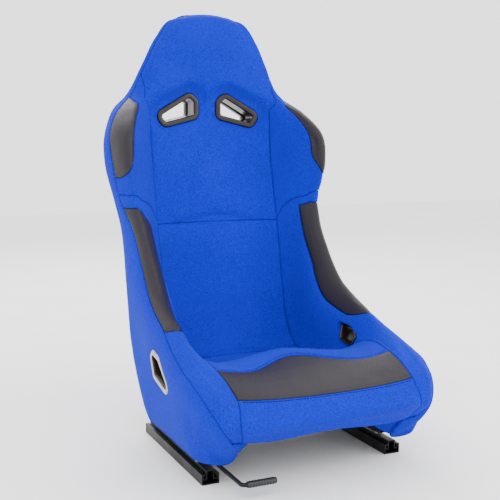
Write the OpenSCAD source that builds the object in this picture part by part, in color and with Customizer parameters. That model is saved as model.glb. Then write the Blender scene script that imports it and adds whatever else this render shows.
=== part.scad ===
// Fixed-back racing seat on sliding floor rails.
// Millimetres. +Z is up, the sitter faces -Y, and +X is the sitter's left.
// The origin is the centre of the four floor bolts, on the floor.

/* [Seat body] */
// Height of the top of the head above the floor
top_z = 926; // [900:1:950]
// Distance from the bolt centre to the front of the cushion
front_y = 289; // [275:1:305]
// Distance from the bolt centre to the back between the shoulder belts
slot_y = 338; // [330:1:344]
// Distance from the bolt centre to the front face of the head
head_y = 310; // [304:1:316]
// Thickness of the head, front to back
head_t = 64; // [58:1:72]
// Height of the lower edge of the front panel
lip_z = 104; // [98:1:110]
// Height of the thigh roll, the highest line of the cushion
thigh_z = 212; // [204:1:220]
// Height of the hollow that the sitter's hips rest in
hollow_z = 152; // [147:1:158]
// Height of the seam across the lower back
lumbar_z = 449; // [435:1:460]
// Height of the widest line of the shoulder wings
wing_z = 640; // [630:1:650]
// Half width of the cushion between its side seams
cushion_x = 187; // [182:1:190]
// Half width of the centre panel of the back
panel_x = 150; // [144:1:154]
// Half width of the seat at the crest of the thigh bolsters
thigh_x = 226; // [222:1:232]
// Half width of the seat at the crest of the hip bolsters
hip_x = 199; // [195:1:204]
// Half width of the seat at the crest of the shoulder wings
wing_x = 235; // [228:1:242]
// How far the shoulder wings stand forward of the back
wing_reach = 116; // [108:1:122]
// Height of the feet of the skirt above the floor
foot_z = 56; // [54:1:60]
// Half width over the feet of the skirt
foot_x = 236; // [233:1:240]

/* [Shell and upholstery] */
// Thickness of the moulded shell
shell_t = 4; // [3:0.5:5]
// Thickness of the pads at the middle of the cushion and back
pad_t = 25; // [20:1:28]
// Thickness of the pads on the crest of the bolsters
crest_pad_t = 6; // [5:0.5:7]
// Thickness of the side and rear covers with their lining
cover_t = 2.5; // [2:0.5:3.5]
// Thickness of the grey vinyl inserts
insert_t = 1.2; // [0.8:0.1:1.6]
// Depth that a seam pulls the edge of a pad in
seam_pull = 3; // [1:0.5:4]
// Gap between neighbouring pieces of upholstery
seam_gap = 0.8; // [0.7:0.1:1]
// Gap between one layer of the seat and the next
layer_gap = 0.3; // [0.3:0.05:0.5]
// Gap between the pads and the shell, for their glue
glue_gap = 0.6; // [0.6:0.05:0.8]

/* [Belt slots] */
// Width of the plastic frame round each slot
bezel_w = 11; // [9:1:13]
// Height of the frame above the cloth
bezel_h = 5; // [4:0.5:7]
// Wall of the sleeve that lines each slot
sleeve_t = 2; // [1.5:0.5:2.5]
// Inner corner radius of the slots
slot_r = 6; // [4:1:7]
// Distance from the middle of the seat to the middle of a harness slot
slot_x = 76; // [74:1:80]
// Height of the middle of the harness slots above the floor
slot_z = 708; // [704:1:712]
// Distance from the middle of the seat to the outer face of the lap belt frames
lap_x = 255; // [254:0.5:257]
// Place of the lap belt slots along the seat, at the outer face
lap_y = -32; // [-36:1:-28]
// Height of the middle of the lap belt slots above the floor, at the outer face
lap_z = 190; // [187:1:193]
// Height of the middle of the lap belt slots above the floor, at the inner face
lap_in_z = 218; // [216:1:220]

/* [Rails] */
// Distance between the two rails
rail_span = 400; // [392:1:406]
// Length of the floor rails
rail_l = 338; // [320:1:350]
// How much shorter the sliding rails are than the floor rails
slider_short = 4; // [0:1:12]
// Width of a floor rail
rail_w = 35; // [34:1:37]
// Height of a floor rail
rail_h = 20; // [19:0.5:22]
// Thickness of the rail steel
rail_t = 2; // [1.8:0.1:2.2]
// Width of the sliding rail where it stands out of the floor rail
slider_w = 16; // [15:0.5:17]
// Height of the top of the sliding rail above the floor
slider_z = 27; // [26:0.5:29]
// Distance between the floor bolts along a rail
bolt_span = 280; // [260:2:290]
// Diameter of the floor bolt holes
bolt_hole = 8.5; // [8.4:0.1:9]
// Diameter of the balls
ball_d = 6; // [5.5:0.25:6.5]
// Free play of a ball, above and below it and in its cage
ball_play = 0.3; // [0.3:0.05:0.4]
// Length of a ball cage
cage_l = 150; // [120:2:170]
// Travel of the seat each way
travel = 80; // [60:1:90]

/* [Base frame] */
// Width and height of the square tubes
tube_w = 22; // [20:1:24]
// Wall of the square tubes
tube_t = 2; // [1.5:0.5:2.5]
// Distance from the frame's front bolts back to the front cross tube
cross_back = 23; // [21:1:28]
// Distance of the rear cross tube from the bolt centre
cross_rear = 70; // [60:1:76]
// Distance between the riser posts across the seat
post_span = 240; // [200:2:260]
// Diameter of the riser posts
post_d = 22; // [20:1:22]
// Diameter of the bolts that hold pan, frame and rails
screw_d = 8; // [7:0.5:8]
// Distance between the bolts along a sliding rail
mount_span = 230; // [210:2:250]

/* [Release lever] */
// Diameter of the lever rod
rod_d = 8; // [7:0.5:9]
// Distance from the rail's centre line in to the rod
rod_in = 22; // [22:0.5:25]
// Height of the rod above the floor
rod_z = 29; // [28:0.5:29]
// Distance from the bolt centre to the bend of the rod
rod_front = 268; // [255:1:280]
// Length of the grip
grip_l = 58; // [50:1:70]
// Diameter of the grip
grip_d = 13; // [12:0.5:15]
// Number of ribs on the grip
grip_ribs = 9; // [5:1:12]
// Radius of the bend of the rod
bend_r = 8; // [7:1:12]
// Number of teeth on the latch plate
latch_teeth = 3; // [2:1:4]
// Pitch of the latch slots in the floor rail
latch_pitch = 10; // [9:0.5:12]

/* [Hidden] */

cloth = [0.10, 0.28, 0.82];
vinyl = [0.40, 0.37, 0.40];
plastic = [0.20, 0.18, 0.18];
steel = [0.08, 0.08, 0.09];
bright = [0.75, 0.75, 0.78];
glass_fibre = [0.16, 0.16, 0.17];

// ---- guide curves of the seat body -------------------------------------------------
// Eight guide curves run along the seat, from the lower edge of its front panel, over the
// cushion and up the back, to the ridge on top of the head. A station lists their points.
// centre: the middle of the padded side (y, z)
// seam:   the inner seam (x, y, z), where centre panel and bolster meet
// crest:  the highest line of the bolster or wing (x, y, z)
// rim:    the outer seam, as a step out, back and down from the crest (x, y, z)
// wall:   the fullest line of the outer side (x, y, z)
// base:   the lower edge of the skirt, and above it the rear edge of the seat (x, y, z)
// rear:   the middle of the rear face (y, z)
head_rear = head_y + head_t;
wing_y = slot_y - wing_reach;
// The head rises from the shoulders; a drop below its top shrinks and grows with that rise
shoulder_z = wing_z + 68;
head_rise = 218;
function down(drop) = top_z - drop * (top_z - shoulder_z) / head_rise;
stations = [
    // lip
    [[-front_y + 26, lip_z], [175, -front_y + 26, lip_z + 1], [190, -front_y + 27, lip_z + 2],
        [4, 2, 0], [189, -front_y + 31, lip_z - 3], [172, -front_y + 39, lip_z - 9],
        [-front_y + 60, lip_z - 30]],
    // nose
    [[-front_y, lip_z + 32], [188, -front_y + 2, lip_z + 34], [206, -front_y + 6, lip_z + 33],
        [10, 6, -6], [211, -front_y + 32, lip_z - 6], [172, -front_y + 79, foot_z - 4],
        [-front_y + 60, foot_z]],
    // roll
    [[-front_y + 14, lip_z + 67], [cushion_x - 3, -front_y + 21, lip_z + 74],
        [thigh_x - 8, -front_y + 26, lip_z + 76], [18, 8, -10],
        [240, -front_y + 58, lip_z + 16], [foot_x - 26, -front_y + 68, foot_z],
        [-front_y + 60, foot_z - 10]],
    // brow of the cushion
    [[-front_y + 46, thigh_z - 25], [cushion_x - 2, -front_y + 53, thigh_z - 14],
        [thigh_x - 1, -front_y + 66, thigh_z - 6], [21, 7, -9],
        [250, -front_y + 90, lip_z + 28], [foot_x - 5, -front_y + 94, foot_z],
        [-front_y + 80, foot_z - 20]],
    // thigh
    [[-160, thigh_z - 9], [cushion_x, -172, thigh_z + 6], [thigh_x, -162, thigh_z + 16],
        [22, 8, -10], [255, -150, lip_z + 36], [foot_x, -140, foot_z], [-140, foot_z - 20]],
    // cushion crest
    [[-70, thigh_z], [cushion_x - 1, -86, thigh_z + 9], [thigh_x - 6, -82, thigh_z + 42],
        [23, 8, -11], [252, -70, lip_z + 46], [foot_x, -50, foot_z], [-50, foot_z - 20]],
    // hip bolster
    [[25, hollow_z + 18], [169, 8, hollow_z + 27], [hip_x + 14, -26, 278], [24, 14, -9],
        [247, 14, lip_z + 56], [foot_x, 30, foot_z], [30, foot_z - 20]],
    // hollow
    [[105, hollow_z - 1], [157, 92, hollow_z + 6], [hip_x + 17, 22, 296], [19, 20, -6],
        [244, 82, lip_z + 70], [foot_x, 86, foot_z + 2], [86, foot_z - 20]],
    // crease
    [[168, hollow_z + 4], [panel_x, 164, hollow_z + 10], [hip_x + 15, 68, 320], [17, 26, -2],
        [241, 146, lip_z + 92], [foot_x - 3, 152, foot_z + 50], [160, foot_z + 34]],
    // hip
    [[205, hollow_z + 58], [panel_x - 2, 204, hollow_z + 58], [hip_x + 13, 102, 353], [17, 28, 0],
        [239, 196, lip_z + 150], [foot_x - 10, 214, foot_z + 110], [226, foot_z + 100]],
    // loin
    [[233, hollow_z + 150], [panel_x - 1, 232, hollow_z + 150], [hip_x + 12, 134, 393], [17, 30, 0],
        [238, 226, 330], [foot_x - 18, 272, 290], [286, 286]],
    // lumbar seam
    [[slot_y - 66, lumbar_z], [panel_x, slot_y - 73, lumbar_z - 2], [hip_x + 14, 176, lumbar_z + 3],
        [18, 32, -1], [236, 252, lumbar_z - 16], [foot_x - 22, 322, lumbar_z - 12],
        [338, lumbar_z - 14]],
    // waist
    [[slot_y - 40, lumbar_z + 72], [panel_x, slot_y - 54, lumbar_z + 70],
        [hip_x + 22, 200, lumbar_z + 55], [22, 42, -3], [245, 284, lumbar_z + 50],
        [foot_x - 23, 342, lumbar_z + 62], [360, lumbar_z + 62]],
    // wing
    [[slot_y - 14, wing_z - 38], [panel_x, slot_y - 36, wing_z - 40],
        [wing_x - 1, wing_y - 32, wing_z - 50], [25, 52, 0],
        [wing_x + 29, wing_y + 66, wing_z - 52], [wing_x - 12, wing_y + 142, wing_z - 40],
        [wing_y + 162, wing_z - 38]],
    // shoulder
    [[slot_y - 2, wing_z + 30], [panel_x + 1, slot_y - 29, wing_z + 26],
        [wing_x - 8, wing_y - 18, wing_z + 16], [27, 52, 4],
        [wing_x + 24, wing_y + 78, wing_z + 12], [wing_x - 13, wing_y + 152, wing_z + 30],
        [wing_y + 176, wing_z + 30]],
    // shoulder slope
    [[slot_y, shoulder_z], [panel_x, slot_y - 27, wing_z + 66], [203, wing_y + 26, wing_z + 58],
        [24, 38, 6], [234, wing_y + 102, wing_z + 62], [207, wing_y + 158, wing_z + 76],
        [wing_y + 180, wing_z + 76]],
    // neck
    [[slot_y - 3, down(186)], [142, slot_y - 24, down(186)], [170, slot_y - 32, down(188)],
        [18, 22, 4], [193, slot_y + 12, down(184)], [178, slot_y + 44, down(182)],
        [slot_y + 60, down(182)]],
    // temple
    [[head_y + 9, down(112)], [108, head_y + 6, down(112)], [141, head_y + 6, down(112)],
        [11, 18, 1], [154, head_y + 38, down(111)], [140, head_rear - 4, down(110)],
        [head_rear + 9, down(110)]],
    // brow of the head
    [[head_y, down(58)], [88, head_y + 1, down(58)], [115, head_y + 5, down(59)],
        [11, 16, -1], [128, head_y + 34, down(59)], [114, head_rear - 10, down(58)],
        [head_rear - 2, down(57)]],
    // crown
    [[head_y + 7, down(17)], [61, head_y + 8, down(19)], [86, head_y + 12, down(22)],
        [12, 12, -2], [100, head_y + 34, down(25)], [89, head_rear - 15, down(24)],
        [head_rear - 11, down(19)]],
    // ridge
    [[head_y + 30, top_z], [46, head_y + 30, down(2)], [67, head_y + 30, down(6)],
        [10, 2, -4], [80, head_y + 32, down(12)], [72, head_y + 34, down(7)],
        [head_y + 33, down(0.5)]]];

// Names for the stations where a seam or a piece begins and ends
LIP = 0;
ROLL = 2;
CREST = 5;
CREASE = 8;
HIP = 9;
LUMBAR = 11;
WAIST = 12;
SLOPE = 15;
NECK = 16;
TEMPLE = 17;
BROW = 18;
RIDGE = 20;

// Names for the guide curves, which number the way across the seat
SEAM = 1;
LEDGE = 2;
TOP = 3;
RIM = 4;
WALL = 5;
BASE = 6;
REAR = 7;

// How far in and down the ledge lies from the crest, as a share of the crest's height
ledge_in = 0.16;
ledge_down = 0.2;
ledge_least = 10;

function ledge(seam, crest) =
    let (rise = crest - seam)
    [crest.x - max(ledge_least, ledge_in * norm(rise)), crest.y - ledge_down * rise.y,
        crest.z - ledge_down * rise.z];

// The eight points of one station, from the centre outwards and round to the rear
function station_points(row) =
    [[0, row[0][0], row[0][1]], row[1], ledge(row[1], row[2]), row[2], row[2] + row[3],
        row[4], row[5], [0, row[6][0], row[6][1]]];
net = [for (row = stations) station_points(row)];

// Distance from each station to the next, which spaces the curves along the seat
station_step = [for (i = [0 : len(net) - 2])
    (norm(net[i + 1][0] - net[i][0]) + norm(net[i + 1][RIM] - net[i][RIM])) / 2];

// Slope of a curve at point i, weighted by the steps on both sides of it
function slope(points, steps, i) =
    let (last = len(points) - 1)
    i <= 0 ? (points[1] - points[0]) / steps[0]
    : i >= last ? (points[last] - points[last - 1]) / steps[last - 1]
    : ((points[i] - points[i - 1]) / steps[i - 1] * steps[i]
        + (points[i + 1] - points[i]) / steps[i] * steps[i - 1]) / (steps[i - 1] + steps[i]);

// A smooth curve through points, at place u counted in points
function curve(points, steps, u) =
    let (i = max(0, min(len(points) - 2, floor(u))), f = u - i, h = steps[i],
        m0 = slope(points, steps, i) * h, m1 = slope(points, steps, i + 1) * h)
    points[i] * (1 + f * f * (2 * f - 3)) + m0 * (f * (1 - f) * (1 - f))
        + points[i + 1] * (f * f * (3 - 2 * f)) - m1 * (f * f * (1 - f));

// The section at place s along the seat, with a mirrored point at each end
function section(s) =
    let (half = [for (k = [0 : REAR]) curve([for (row = net) row[k]], station_step, s)])
    concat([mirrored(half[SEAM])], half, [mirrored(half[BASE])]);
function mirrored(p) = [-p.x, p.y, p.z];
function section_steps(points) =
    [for (i = [0 : len(points) - 2]) max(4, norm(points[i + 1] - points[i]))];

// The point at place t across a section, from 0 at the centre to 7 at the middle of the rear
function across(points, steps, t) = curve(points, steps, t + 1);
function seat_point(s, t) =
    let (points = section(s))
    across(points, section_steps(points), t);

// Rows of surface points with their outward normals, for places s and a list of t at each
nudge = 0.02;
function surface_rows(s_list, t_of) =
    [for (s = s_list)
        let (here = section(s), steps = section_steps(here),
            before = section(s - nudge), after = section(s + nudge),
            steps_before = section_steps(before), steps_after = section_steps(after))
        [for (t = t_of(s))
            let (a = abs(t), side = t < 0 ? -1 : 1, point = across(here, steps, a),
                along = across(after, steps_after, a) - across(before, steps_before, a),
                over = across(here, steps, a + nudge) - across(here, steps, a - nudge),
                n = cross(over, along), unit = n / norm(n))
            [[side * point.x, point.y, point.z], [side * unit.x, unit.y, unit.z]]]];

// A closed shell between two depths below the surface, over a grid of places.
// top and bottom give the depth for a place s and t.
module layer(s_list, t_of, top, bottom) {
    rows = surface_rows(s_list, t_of);
    count = len(rows[0]);
    last = len(rows) - 1;
    upper = [for (i = [0 : last]) for (j = [0 : count - 1])
        rows[i][j][0] - rows[i][j][1] * top(s_list[i], t_of(s_list[i])[j])];
    lower = [for (i = [0 : last]) for (j = [0 : count - 1])
        rows[i][j][0] - rows[i][j][1] * bottom(s_list[i], t_of(s_list[i])[j])];
    shift = len(upper);
    function at(i, j) = i * count + j;
    faces = concat(
        [for (i = [0 : last - 1]) for (j = [0 : count - 2])
            for (f = [[at(i, j), at(i + 1, j), at(i + 1, j + 1)],
                [at(i, j), at(i + 1, j + 1), at(i, j + 1)]]) f],
        [for (i = [0 : last - 1]) for (j = [0 : count - 2])
            for (f = [[at(i, j), at(i + 1, j + 1), at(i + 1, j)],
                [at(i, j), at(i, j + 1), at(i + 1, j + 1)]]) [for (k = f) k + shift]],
        [for (i = [0 : last - 1])
            for (f = [edge(at(i, 0), at(i + 1, 0), shift),
                edge(at(i + 1, count - 1), at(i, count - 1), shift)]) for (g = f) g],
        [for (j = [0 : count - 2])
            for (f = [edge(at(0, j + 1), at(0, j), shift),
                edge(at(last, j), at(last, j + 1), shift)]) for (g = f) g]);
    polyhedron(concat(upper, lower), faces);
}
function edge(a, b, shift) = [[a, a + shift, b], [b, a + shift, b + shift]];

// Evenly spaced places, and places drawn together at both ends for a rolled edge
function even(a, b, n) = [for (i = [0 : n]) a + (b - a) * i / n];
function drawn(a, b, n) =
    [for (i = [0 : n]) let (u = i / n) a + (b - a) * (u * 0.45 + 0.55 * (1 - cos(180 * u)) / 2)];

// ---- depths of the layers ----------------------------------------------------------
// Share of the full pad thickness along the seat, thinner on the roll and round the head
function pad_share(s) = lookup(s, [[LIP, 0.3], [ROLL, 0.72], [CREST, 1], [CREASE, 0.8], [LUMBAR, 1],
    [NECK, 0.9], [BROW, 0.6], [RIDGE, 0.4]]);
function crest_share(s) = lookup(s, [[LIP, 0.5], [ROLL, 0.9], [CREST, 1], [NECK, 1], [RIDGE, 0.9]]);
function pad_depth(s, t) =
    let (a = abs(t), mid = pad_t * pad_share(s), side = crest_pad_t * crest_share(s))
    lookup(a, [[0, mid], [SEAM, mid * 0.9], [LEDGE, side * 1.25], [TOP, side], [RIM, side * 0.8],
        [RIM + 0.5, cover_t]]);
function shell_depth(s, t) = pad_depth(s, t) + glue_gap;

// Depth of a pad's outer face: drawn in by the seam along its edges
function edge_pull(a, b, x, reach) =
    let (d = min(x - a, b - x) / reach)
    d >= 1 ? 0 : seam_pull * (1 - d) * (1 - d);

// ---- where the seams run -----------------------------------------------------------
// Gaps along and across the seat, from millimetres to places
along_gap = seam_gap / 70;
across_gap = seam_gap / 60;

// Half width of the upper back panel: the seam leaves the panel's edge and meets the rim
wing_end = NECK + 0.3;
function upper_edge(s) =
    s <= SLOPE ? SEAM
    : SEAM + (RIM - 0.25 - SEAM) * min(1, pow((s - SLOPE) / (NECK + 0.5 - SLOPE), 1.6));

// Where the grey inserts of the bolsters and wings begin and end along the seat
bolster_insert_from = 6.15;
bolster_insert_to = 11.75;
wing_insert_from = 12.75;
wing_insert_to = 15.75;
// Inner edge of the inserts, which narrow towards the rim at their ends. Between and beyond
// the inserts it runs on as a plain line of the grid.
function taper(u, start, stop) = start * pow(1 - u, 6) + stop * pow(u, 6);
function way(s, from, to) = (s - from) / (to - from);
function patch_edge(s) =
    s < bolster_insert_from ? LEDGE
    : s < bolster_insert_to ? LEDGE - 0.1 + taper(way(s, bolster_insert_from, bolster_insert_to), 0.1, 1.2)
    : s < wing_insert_from ? LEDGE + 1.1
    : s < wing_insert_to ? LEDGE + 0.1 + taper(way(s, wing_insert_from, wing_insert_to), 0.9, 0.9)
    : max(LEDGE + 1.15, upper_edge(s) + 0.3 * (RIM - upper_edge(s)));

// Places along and across that all layers share, so that their facets lie parallel
run_cushion = placed(drawn(LIP, CREASE, 16), bolster_insert_from);
run_lower = drawn(CREASE, LUMBAR, 7);
run_waist = placed(even(LUMBAR, WAIST, 2), bolster_insert_to);
run_wing = placed(placed(even(WAIST, wing_end, 8), wing_insert_from), wing_insert_to);
run_head = even(wing_end, RIDGE, 6);
run_bolster = concat(run_cushion, tail(run_lower), tail(run_waist));
run_upper = concat(run_waist, tail(run_wing), tail(run_head));
run_back = concat(run_lower, tail(run_upper));
run_all = concat(run_cushion, tail(run_back));
// The shells end below the ridge, where the cloth closes over them
run_shell = concat(within(run_back, CREASE, RIDGE - 0.5), [RIDGE - 0.2]);
function tail(v) = [for (i = [1 : len(v) - 1]) v[i]];
// A list with the place x put in, in the stead of any that lies nearly there
function placed(v, x) = concat([for (s = v) if (s < x - 0.1) s], [x], [for (s = v) if (s > x + 0.1) s]);
function within(v, from, to) = [for (s = v) if (s >= from && s <= to) s];

patch_cols = 5;
function centre_t(s) = drawn(-upper_edge(s), upper_edge(s), 10);
function bolster_t(s) = concat(drawn(upper_edge(s), patch_edge(s), 4),
    tail(drawn(patch_edge(s), RIM, patch_cols)));
function patch_t(s) = let (row = gapped(bolster_t(s), across_gap, across_gap), n = len(row))
    [for (i = [n - 1 - patch_cols : n - 1]) row[i]];
side_t = even(RIM, BASE, 4);

// A list with its first and last value moved in by a gap
function gapped(v, first, last) =
    [for (i = [0 : len(v) - 1]) v[i] + (i == 0 ? first : 0) - (i == len(v) - 1 ? last : 0)];

// Rear edge of the grey cushion insert: a long wave with its rise in the middle
insert_front = 2.25;
insert_rear = 3.95;
wave_rise = 0.6;
insert_half = SEAM - 0.05;
function wave(t) = insert_rear + wave_rise * (1 + cos(360 * t / 1.5)) / 2 * (abs(t) < 0.75 ? 1 : 0)
    + 0.05 * abs(t);

// ---- belt slots ---------------------------------------------------------------------
// Inner outline of a harness slot, as steps sideways and up from its middle, before rounding
slot_outline = [[-30, 28], [-42, 18], [-42, -11], [31, -29], [42, -14]];
// Inner outline of a lap belt slot, as steps back and up from its middle, before rounding
lap_outline = [[36, 26], [17, -12], [-52, -27], [-54, -18], [-4, 19]];
// The same for its shorter inner mouth
lap_in_outline = [[34, 24], [17, -12], [-28, -18], [-30, 2], [-6, 20]];
// Face and thickness of the frames round the harness slots, front and rear
bezel_y = slot_y - bezel_h;
rear_bezel_y = slot_y + 72;
rear_flange_t = 6;
flange_t = 4;
// How far the front frames turn to follow the dished back
slot_turn = -0.09;
// Where the sleeves of the front and rear frames meet
sleeve_y = slot_y + 42;
reach = 120;
// The lap slots run inwards, back and up, and the inner face leans out towards the top
lap_in_x = 181;
lap_run = -0.23;
lap_rise = (lap_z - lap_in_z) / (lap_x - lap_in_x);
lap_lean = 0.42;
lap_meet_x = 222;
lap_in_w = 5;

module rounded(outline, grow) {
    offset(r = slot_r + grow, $fn = 32) offset(delta = -slot_r) polygon(outline);
}
module harness_prism(grow, from, to, turn = slot_turn) {
    multmatrix([[1, 0, 0, slot_x], [turn, 1, 0, 0], [0, 0, 1, slot_z], [0, 0, 0, 1]])
        translate([0, to, 0]) rotate([90, 0, 0]) linear_extrude(to - from) rounded(slot_outline, grow);
}
module lap_prism(grow, from, to, outline = lap_outline) {
    multmatrix([[1, 0, 0, 0], [lap_run, 1, 0, lap_y - lap_run * lap_x],
        [lap_rise, 0, 1, lap_z - lap_rise * lap_x], [0, 0, 0, 1]])
        translate([from, 0, 0]) rotate([90, 0, 90]) linear_extrude(to - from) rounded(outline, grow);
}
module lean_block(from, to) {
    multmatrix([[1, 0, lap_lean, -lap_lean * lap_in_z], [0, 1, 0, 0], [0, 0, 1, 0], [0, 0, 0, 1]])
        translate([from, -reach, lap_in_z - reach]) cube([to - from, 2 * reach, 2 * reach]);
}
module harness_cut() {
    harness_prism(sleeve_t + layer_gap, bezel_y, slot_y + reach);
    harness_prism(bezel_w + layer_gap, bezel_y - reach, bezel_y + flange_t + layer_gap);
}
module rear_harness_cut() {
    harness_prism(sleeve_t + layer_gap, slot_y + shell_t, slot_y + reach, 0);
    harness_prism(bezel_w + layer_gap, rear_bezel_y - rear_flange_t - layer_gap, slot_y + reach, 0);
}
module lap_cut() {
    intersection() {
        lap_prism(sleeve_t + layer_gap, lap_in_x - 30, lap_meet_x, lap_in_outline);
        lean_block(lap_in_x - layer_gap, lap_x);
    }
    lap_prism(sleeve_t + layer_gap, lap_meet_x, lap_x + 1);
    lap_prism(bezel_w + layer_gap, lap_x - flange_t - layer_gap, lap_x + 20);
    intersection() {
        lap_prism(lap_in_w + layer_gap, lap_in_x - 40, lap_in_x + 40, lap_in_outline);
        lean_block(lap_in_x - 25, lap_in_x + flange_t + layer_gap);
    }
}
module harness_bezel() {
    color(plastic) difference() {
        union() {
            harness_prism(bezel_w, bezel_y, bezel_y + flange_t);
            harness_prism(sleeve_t, bezel_y, sleeve_y - 5);
        }
        harness_prism(0, bezel_y - 1, sleeve_y);
    }
}
module harness_rear_bezel() {
    color(plastic) difference() {
        union() {
            harness_prism(bezel_w, rear_bezel_y - rear_flange_t, rear_bezel_y, 0);
            harness_prism(sleeve_t, sleeve_y, rear_bezel_y, 0);
        }
        harness_prism(0, sleeve_y - 1, rear_bezel_y + 1, 0);
    }
}
module lap_outer_bezel() {
    color(plastic) difference() {
        union() {
            lap_prism(bezel_w, lap_x - flange_t, lap_x);
            lap_prism(sleeve_t, lap_meet_x + layer_gap, lap_x);
        }
        lap_prism(0, lap_meet_x - 1, lap_x + 1);
    }
}
module lap_inner_bezel() {
    color(plastic) difference() {
        union() {
            intersection() {
                lap_prism(lap_in_w, lap_in_x - 40, lap_in_x + 40, lap_in_outline);
                lean_block(lap_in_x, lap_in_x + flange_t);
            }
            intersection() {
                lap_prism(sleeve_t, lap_in_x - 40, lap_meet_x, lap_in_outline);
                lean_block(lap_in_x, lap_x);
            }
        }
        lap_prism(0, lap_in_x - 50, lap_meet_x + 1, lap_in_outline);
    }
}

// ---- upholstery ---------------------------------------------------------------------
module pad(s_list, t_of, s0, s1, t_reach, s_reach) {
    layer(s_list, t_of,
        function (s, t) let (row = t_of(s), n = len(row) - 1)
            max(edge_pull(row[0], row[n], t, t_reach), edge_pull(s0, s1, s, s_reach)),
        function (s, t) pad_depth(s, t));
}
module cushion_pad() {
    color(cloth) difference() {
        pad(gapped(run_cushion, 0, along_gap), function (s) gapped(centre_t(s), across_gap, across_gap),
            LIP, CREASE, 0.1, 0.3);
        for (side = [-1, 1]) side_of(side) lap_cut();
        pan_bosses(layer_gap);
    }
}
module cushion_insert() {
    color(vinyl) on_surface(even(0, 1, 8), 24,
        function (u, v) let (t = insert_half * (2 * v - 1)) insert_front + (wave(t) - insert_front) * u,
        function (u, v) insert_half * (2 * v - 1), glue_gap);
}
module lower_back_pad() {
    color(cloth) pad(gapped(run_lower, along_gap, along_gap),
        function (s) gapped(centre_t(s), across_gap, across_gap), CREASE, LUMBAR, 0.1, 0.15);
}
module upper_back_pad() {
    color(cloth) difference() {
        pad(gapped(run_upper, along_gap, 0), function (s) gapped(centre_t(s), across_gap, across_gap),
            LUMBAR, RIDGE + 1, 0.12, 0.15);
        for (side = [-1, 1]) side_of(side) harness_cut();
    }
}
module bolster_pad() {
    color(cloth) difference() {
        pad(gapped(run_bolster, 0, along_gap), function (s) gapped(bolster_t(s), across_gap, across_gap),
            LIP, WAIST, 0.25, 0.2);
        lap_cut();
    }
}
module wing_pad() {
    color(cloth) pad(gapped(run_wing, along_gap, along_gap),
        function (s) gapped(bolster_t(s), across_gap, across_gap), WAIST, wing_end, 0.25, 0.2);
}

// A grey insert covers whole cells of the pad below it
module patch(from, to) {
    color(vinyl) layer(within(run_all, from, to), function (s) patch_t(s),
        function (s, t) -layer_gap - insert_t, function (s, t) -layer_gap);
}
module bolster_insert() {
    patch(bolster_insert_from, bolster_insert_to);
}
module wing_insert() {
    patch(wing_insert_from, wing_insert_to);
}
module side_cover() {
    color(cloth) difference() {
        layer(run_all, function (s) gapped(side_t, across_gap, 0), function (s, t) 0,
            function (s, t) cover_t);
        lap_cut();
    }
}

// A thin piece laid on the surface over a list of u and an even grid of v, both from 0 to 1
module on_surface(u_list, nt, s_at, t_at, lift = layer_gap) {
    ns = len(u_list) - 1;
    places = [for (j = [0 : nt]) for (u = u_list) [s_at(u, j / nt), t_at(u, j / nt)]];
    rows = [for (p = places) surface_rows([p[0]], function (s) [p[1]])[0][0]];
    skins = concat([for (p = rows) p[0] + p[1] * (insert_t + lift)],
        [for (p = rows) p[0] + p[1] * lift]);
    shift = len(rows);
    function at(j, i) = j * (ns + 1) + i;
    polyhedron(skins, concat(
        [for (j = [0 : nt - 1]) for (i = [0 : ns - 1])
            for (f = [[at(j, i), at(j + 1, i + 1), at(j + 1, i)],
                [at(j, i), at(j, i + 1), at(j + 1, i + 1)]])
                for (g = [f, [f[0] + shift, f[2] + shift, f[1] + shift]]) g],
        [for (j = [0 : nt - 1])
            for (f = [edge(at(j + 1, 0), at(j, 0), shift), edge(at(j, ns), at(j + 1, ns), shift)])
                for (g = f) g],
        [for (i = [0 : ns - 1])
            for (f = [edge(at(0, i), at(0, i + 1), shift), edge(at(nt, i + 1), at(nt, i), shift)])
                for (g = f) g]));
}

// ---- moulded shell -----------------------------------------------------------------
// Four bosses under the cushion take the pan bolts
boss_d = 34;
boss_h = 14;
cross_front = mount_span / 2 - cross_back;
boss_front_top = 177 + 0.27 * (cross_front - 92);
boss_rear_top = 128.5;
module pan_places() {
    for (x = [-1, 1]) {
        translate([x * post_span / 2, -cross_front, boss_front_top]) children();
        translate([x * post_span / 2, cross_rear, boss_rear_top]) children();
    }
}
module pan_bosses(grow) {
    pan_places() translate([0, 0, -boss_h]) cylinder(d = boss_d + 2 * grow, h = boss_h + grow, $fn = 40);
}
// The shell is moulded in six pieces, bonded edge to edge below the seams of the pads
module shell_layer(s_list, t_of) {
    layer(s_list, t_of, function (s, t) shell_depth(s, t), function (s, t) shell_depth(s, t) + shell_t);
}
module pan_shell() {
    color(glass_fibre) difference() {
        union() {
            shell_layer(gapped(run_cushion, 0, along_gap), function (s) gapped(centre_t(s), across_gap, across_gap));
            pan_bosses(0);
        }
        for (side = [-1, 1]) side_of(side) lap_cut();
        pan_places() translate([0, 0, -boss_h - 1]) cylinder(d = screw_d + bolt_play, h = boss_h, $fn = 32);
    }
}
module back_shell() {
    color(glass_fibre) difference() {
        shell_layer(gapped(run_shell, along_gap, 0), function (s) gapped(centre_t(s), across_gap, across_gap));
        for (side = [-1, 1]) side_of(side) harness_cut();
    }
}
function side_shell_t(s) = concat(gapped(bolster_t(s), across_gap, across_gap), gapped(side_t, across_gap, 0));
module hip_shell() {
    color(glass_fibre) difference() {
        shell_layer(gapped(run_cushion, 0, along_gap), function (s) side_shell_t(s));
        lap_cut();
    }
}
module wing_shell() {
    color(glass_fibre) shell_layer(gapped(run_shell, along_gap, 0), function (s) side_shell_t(s));
}
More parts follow.
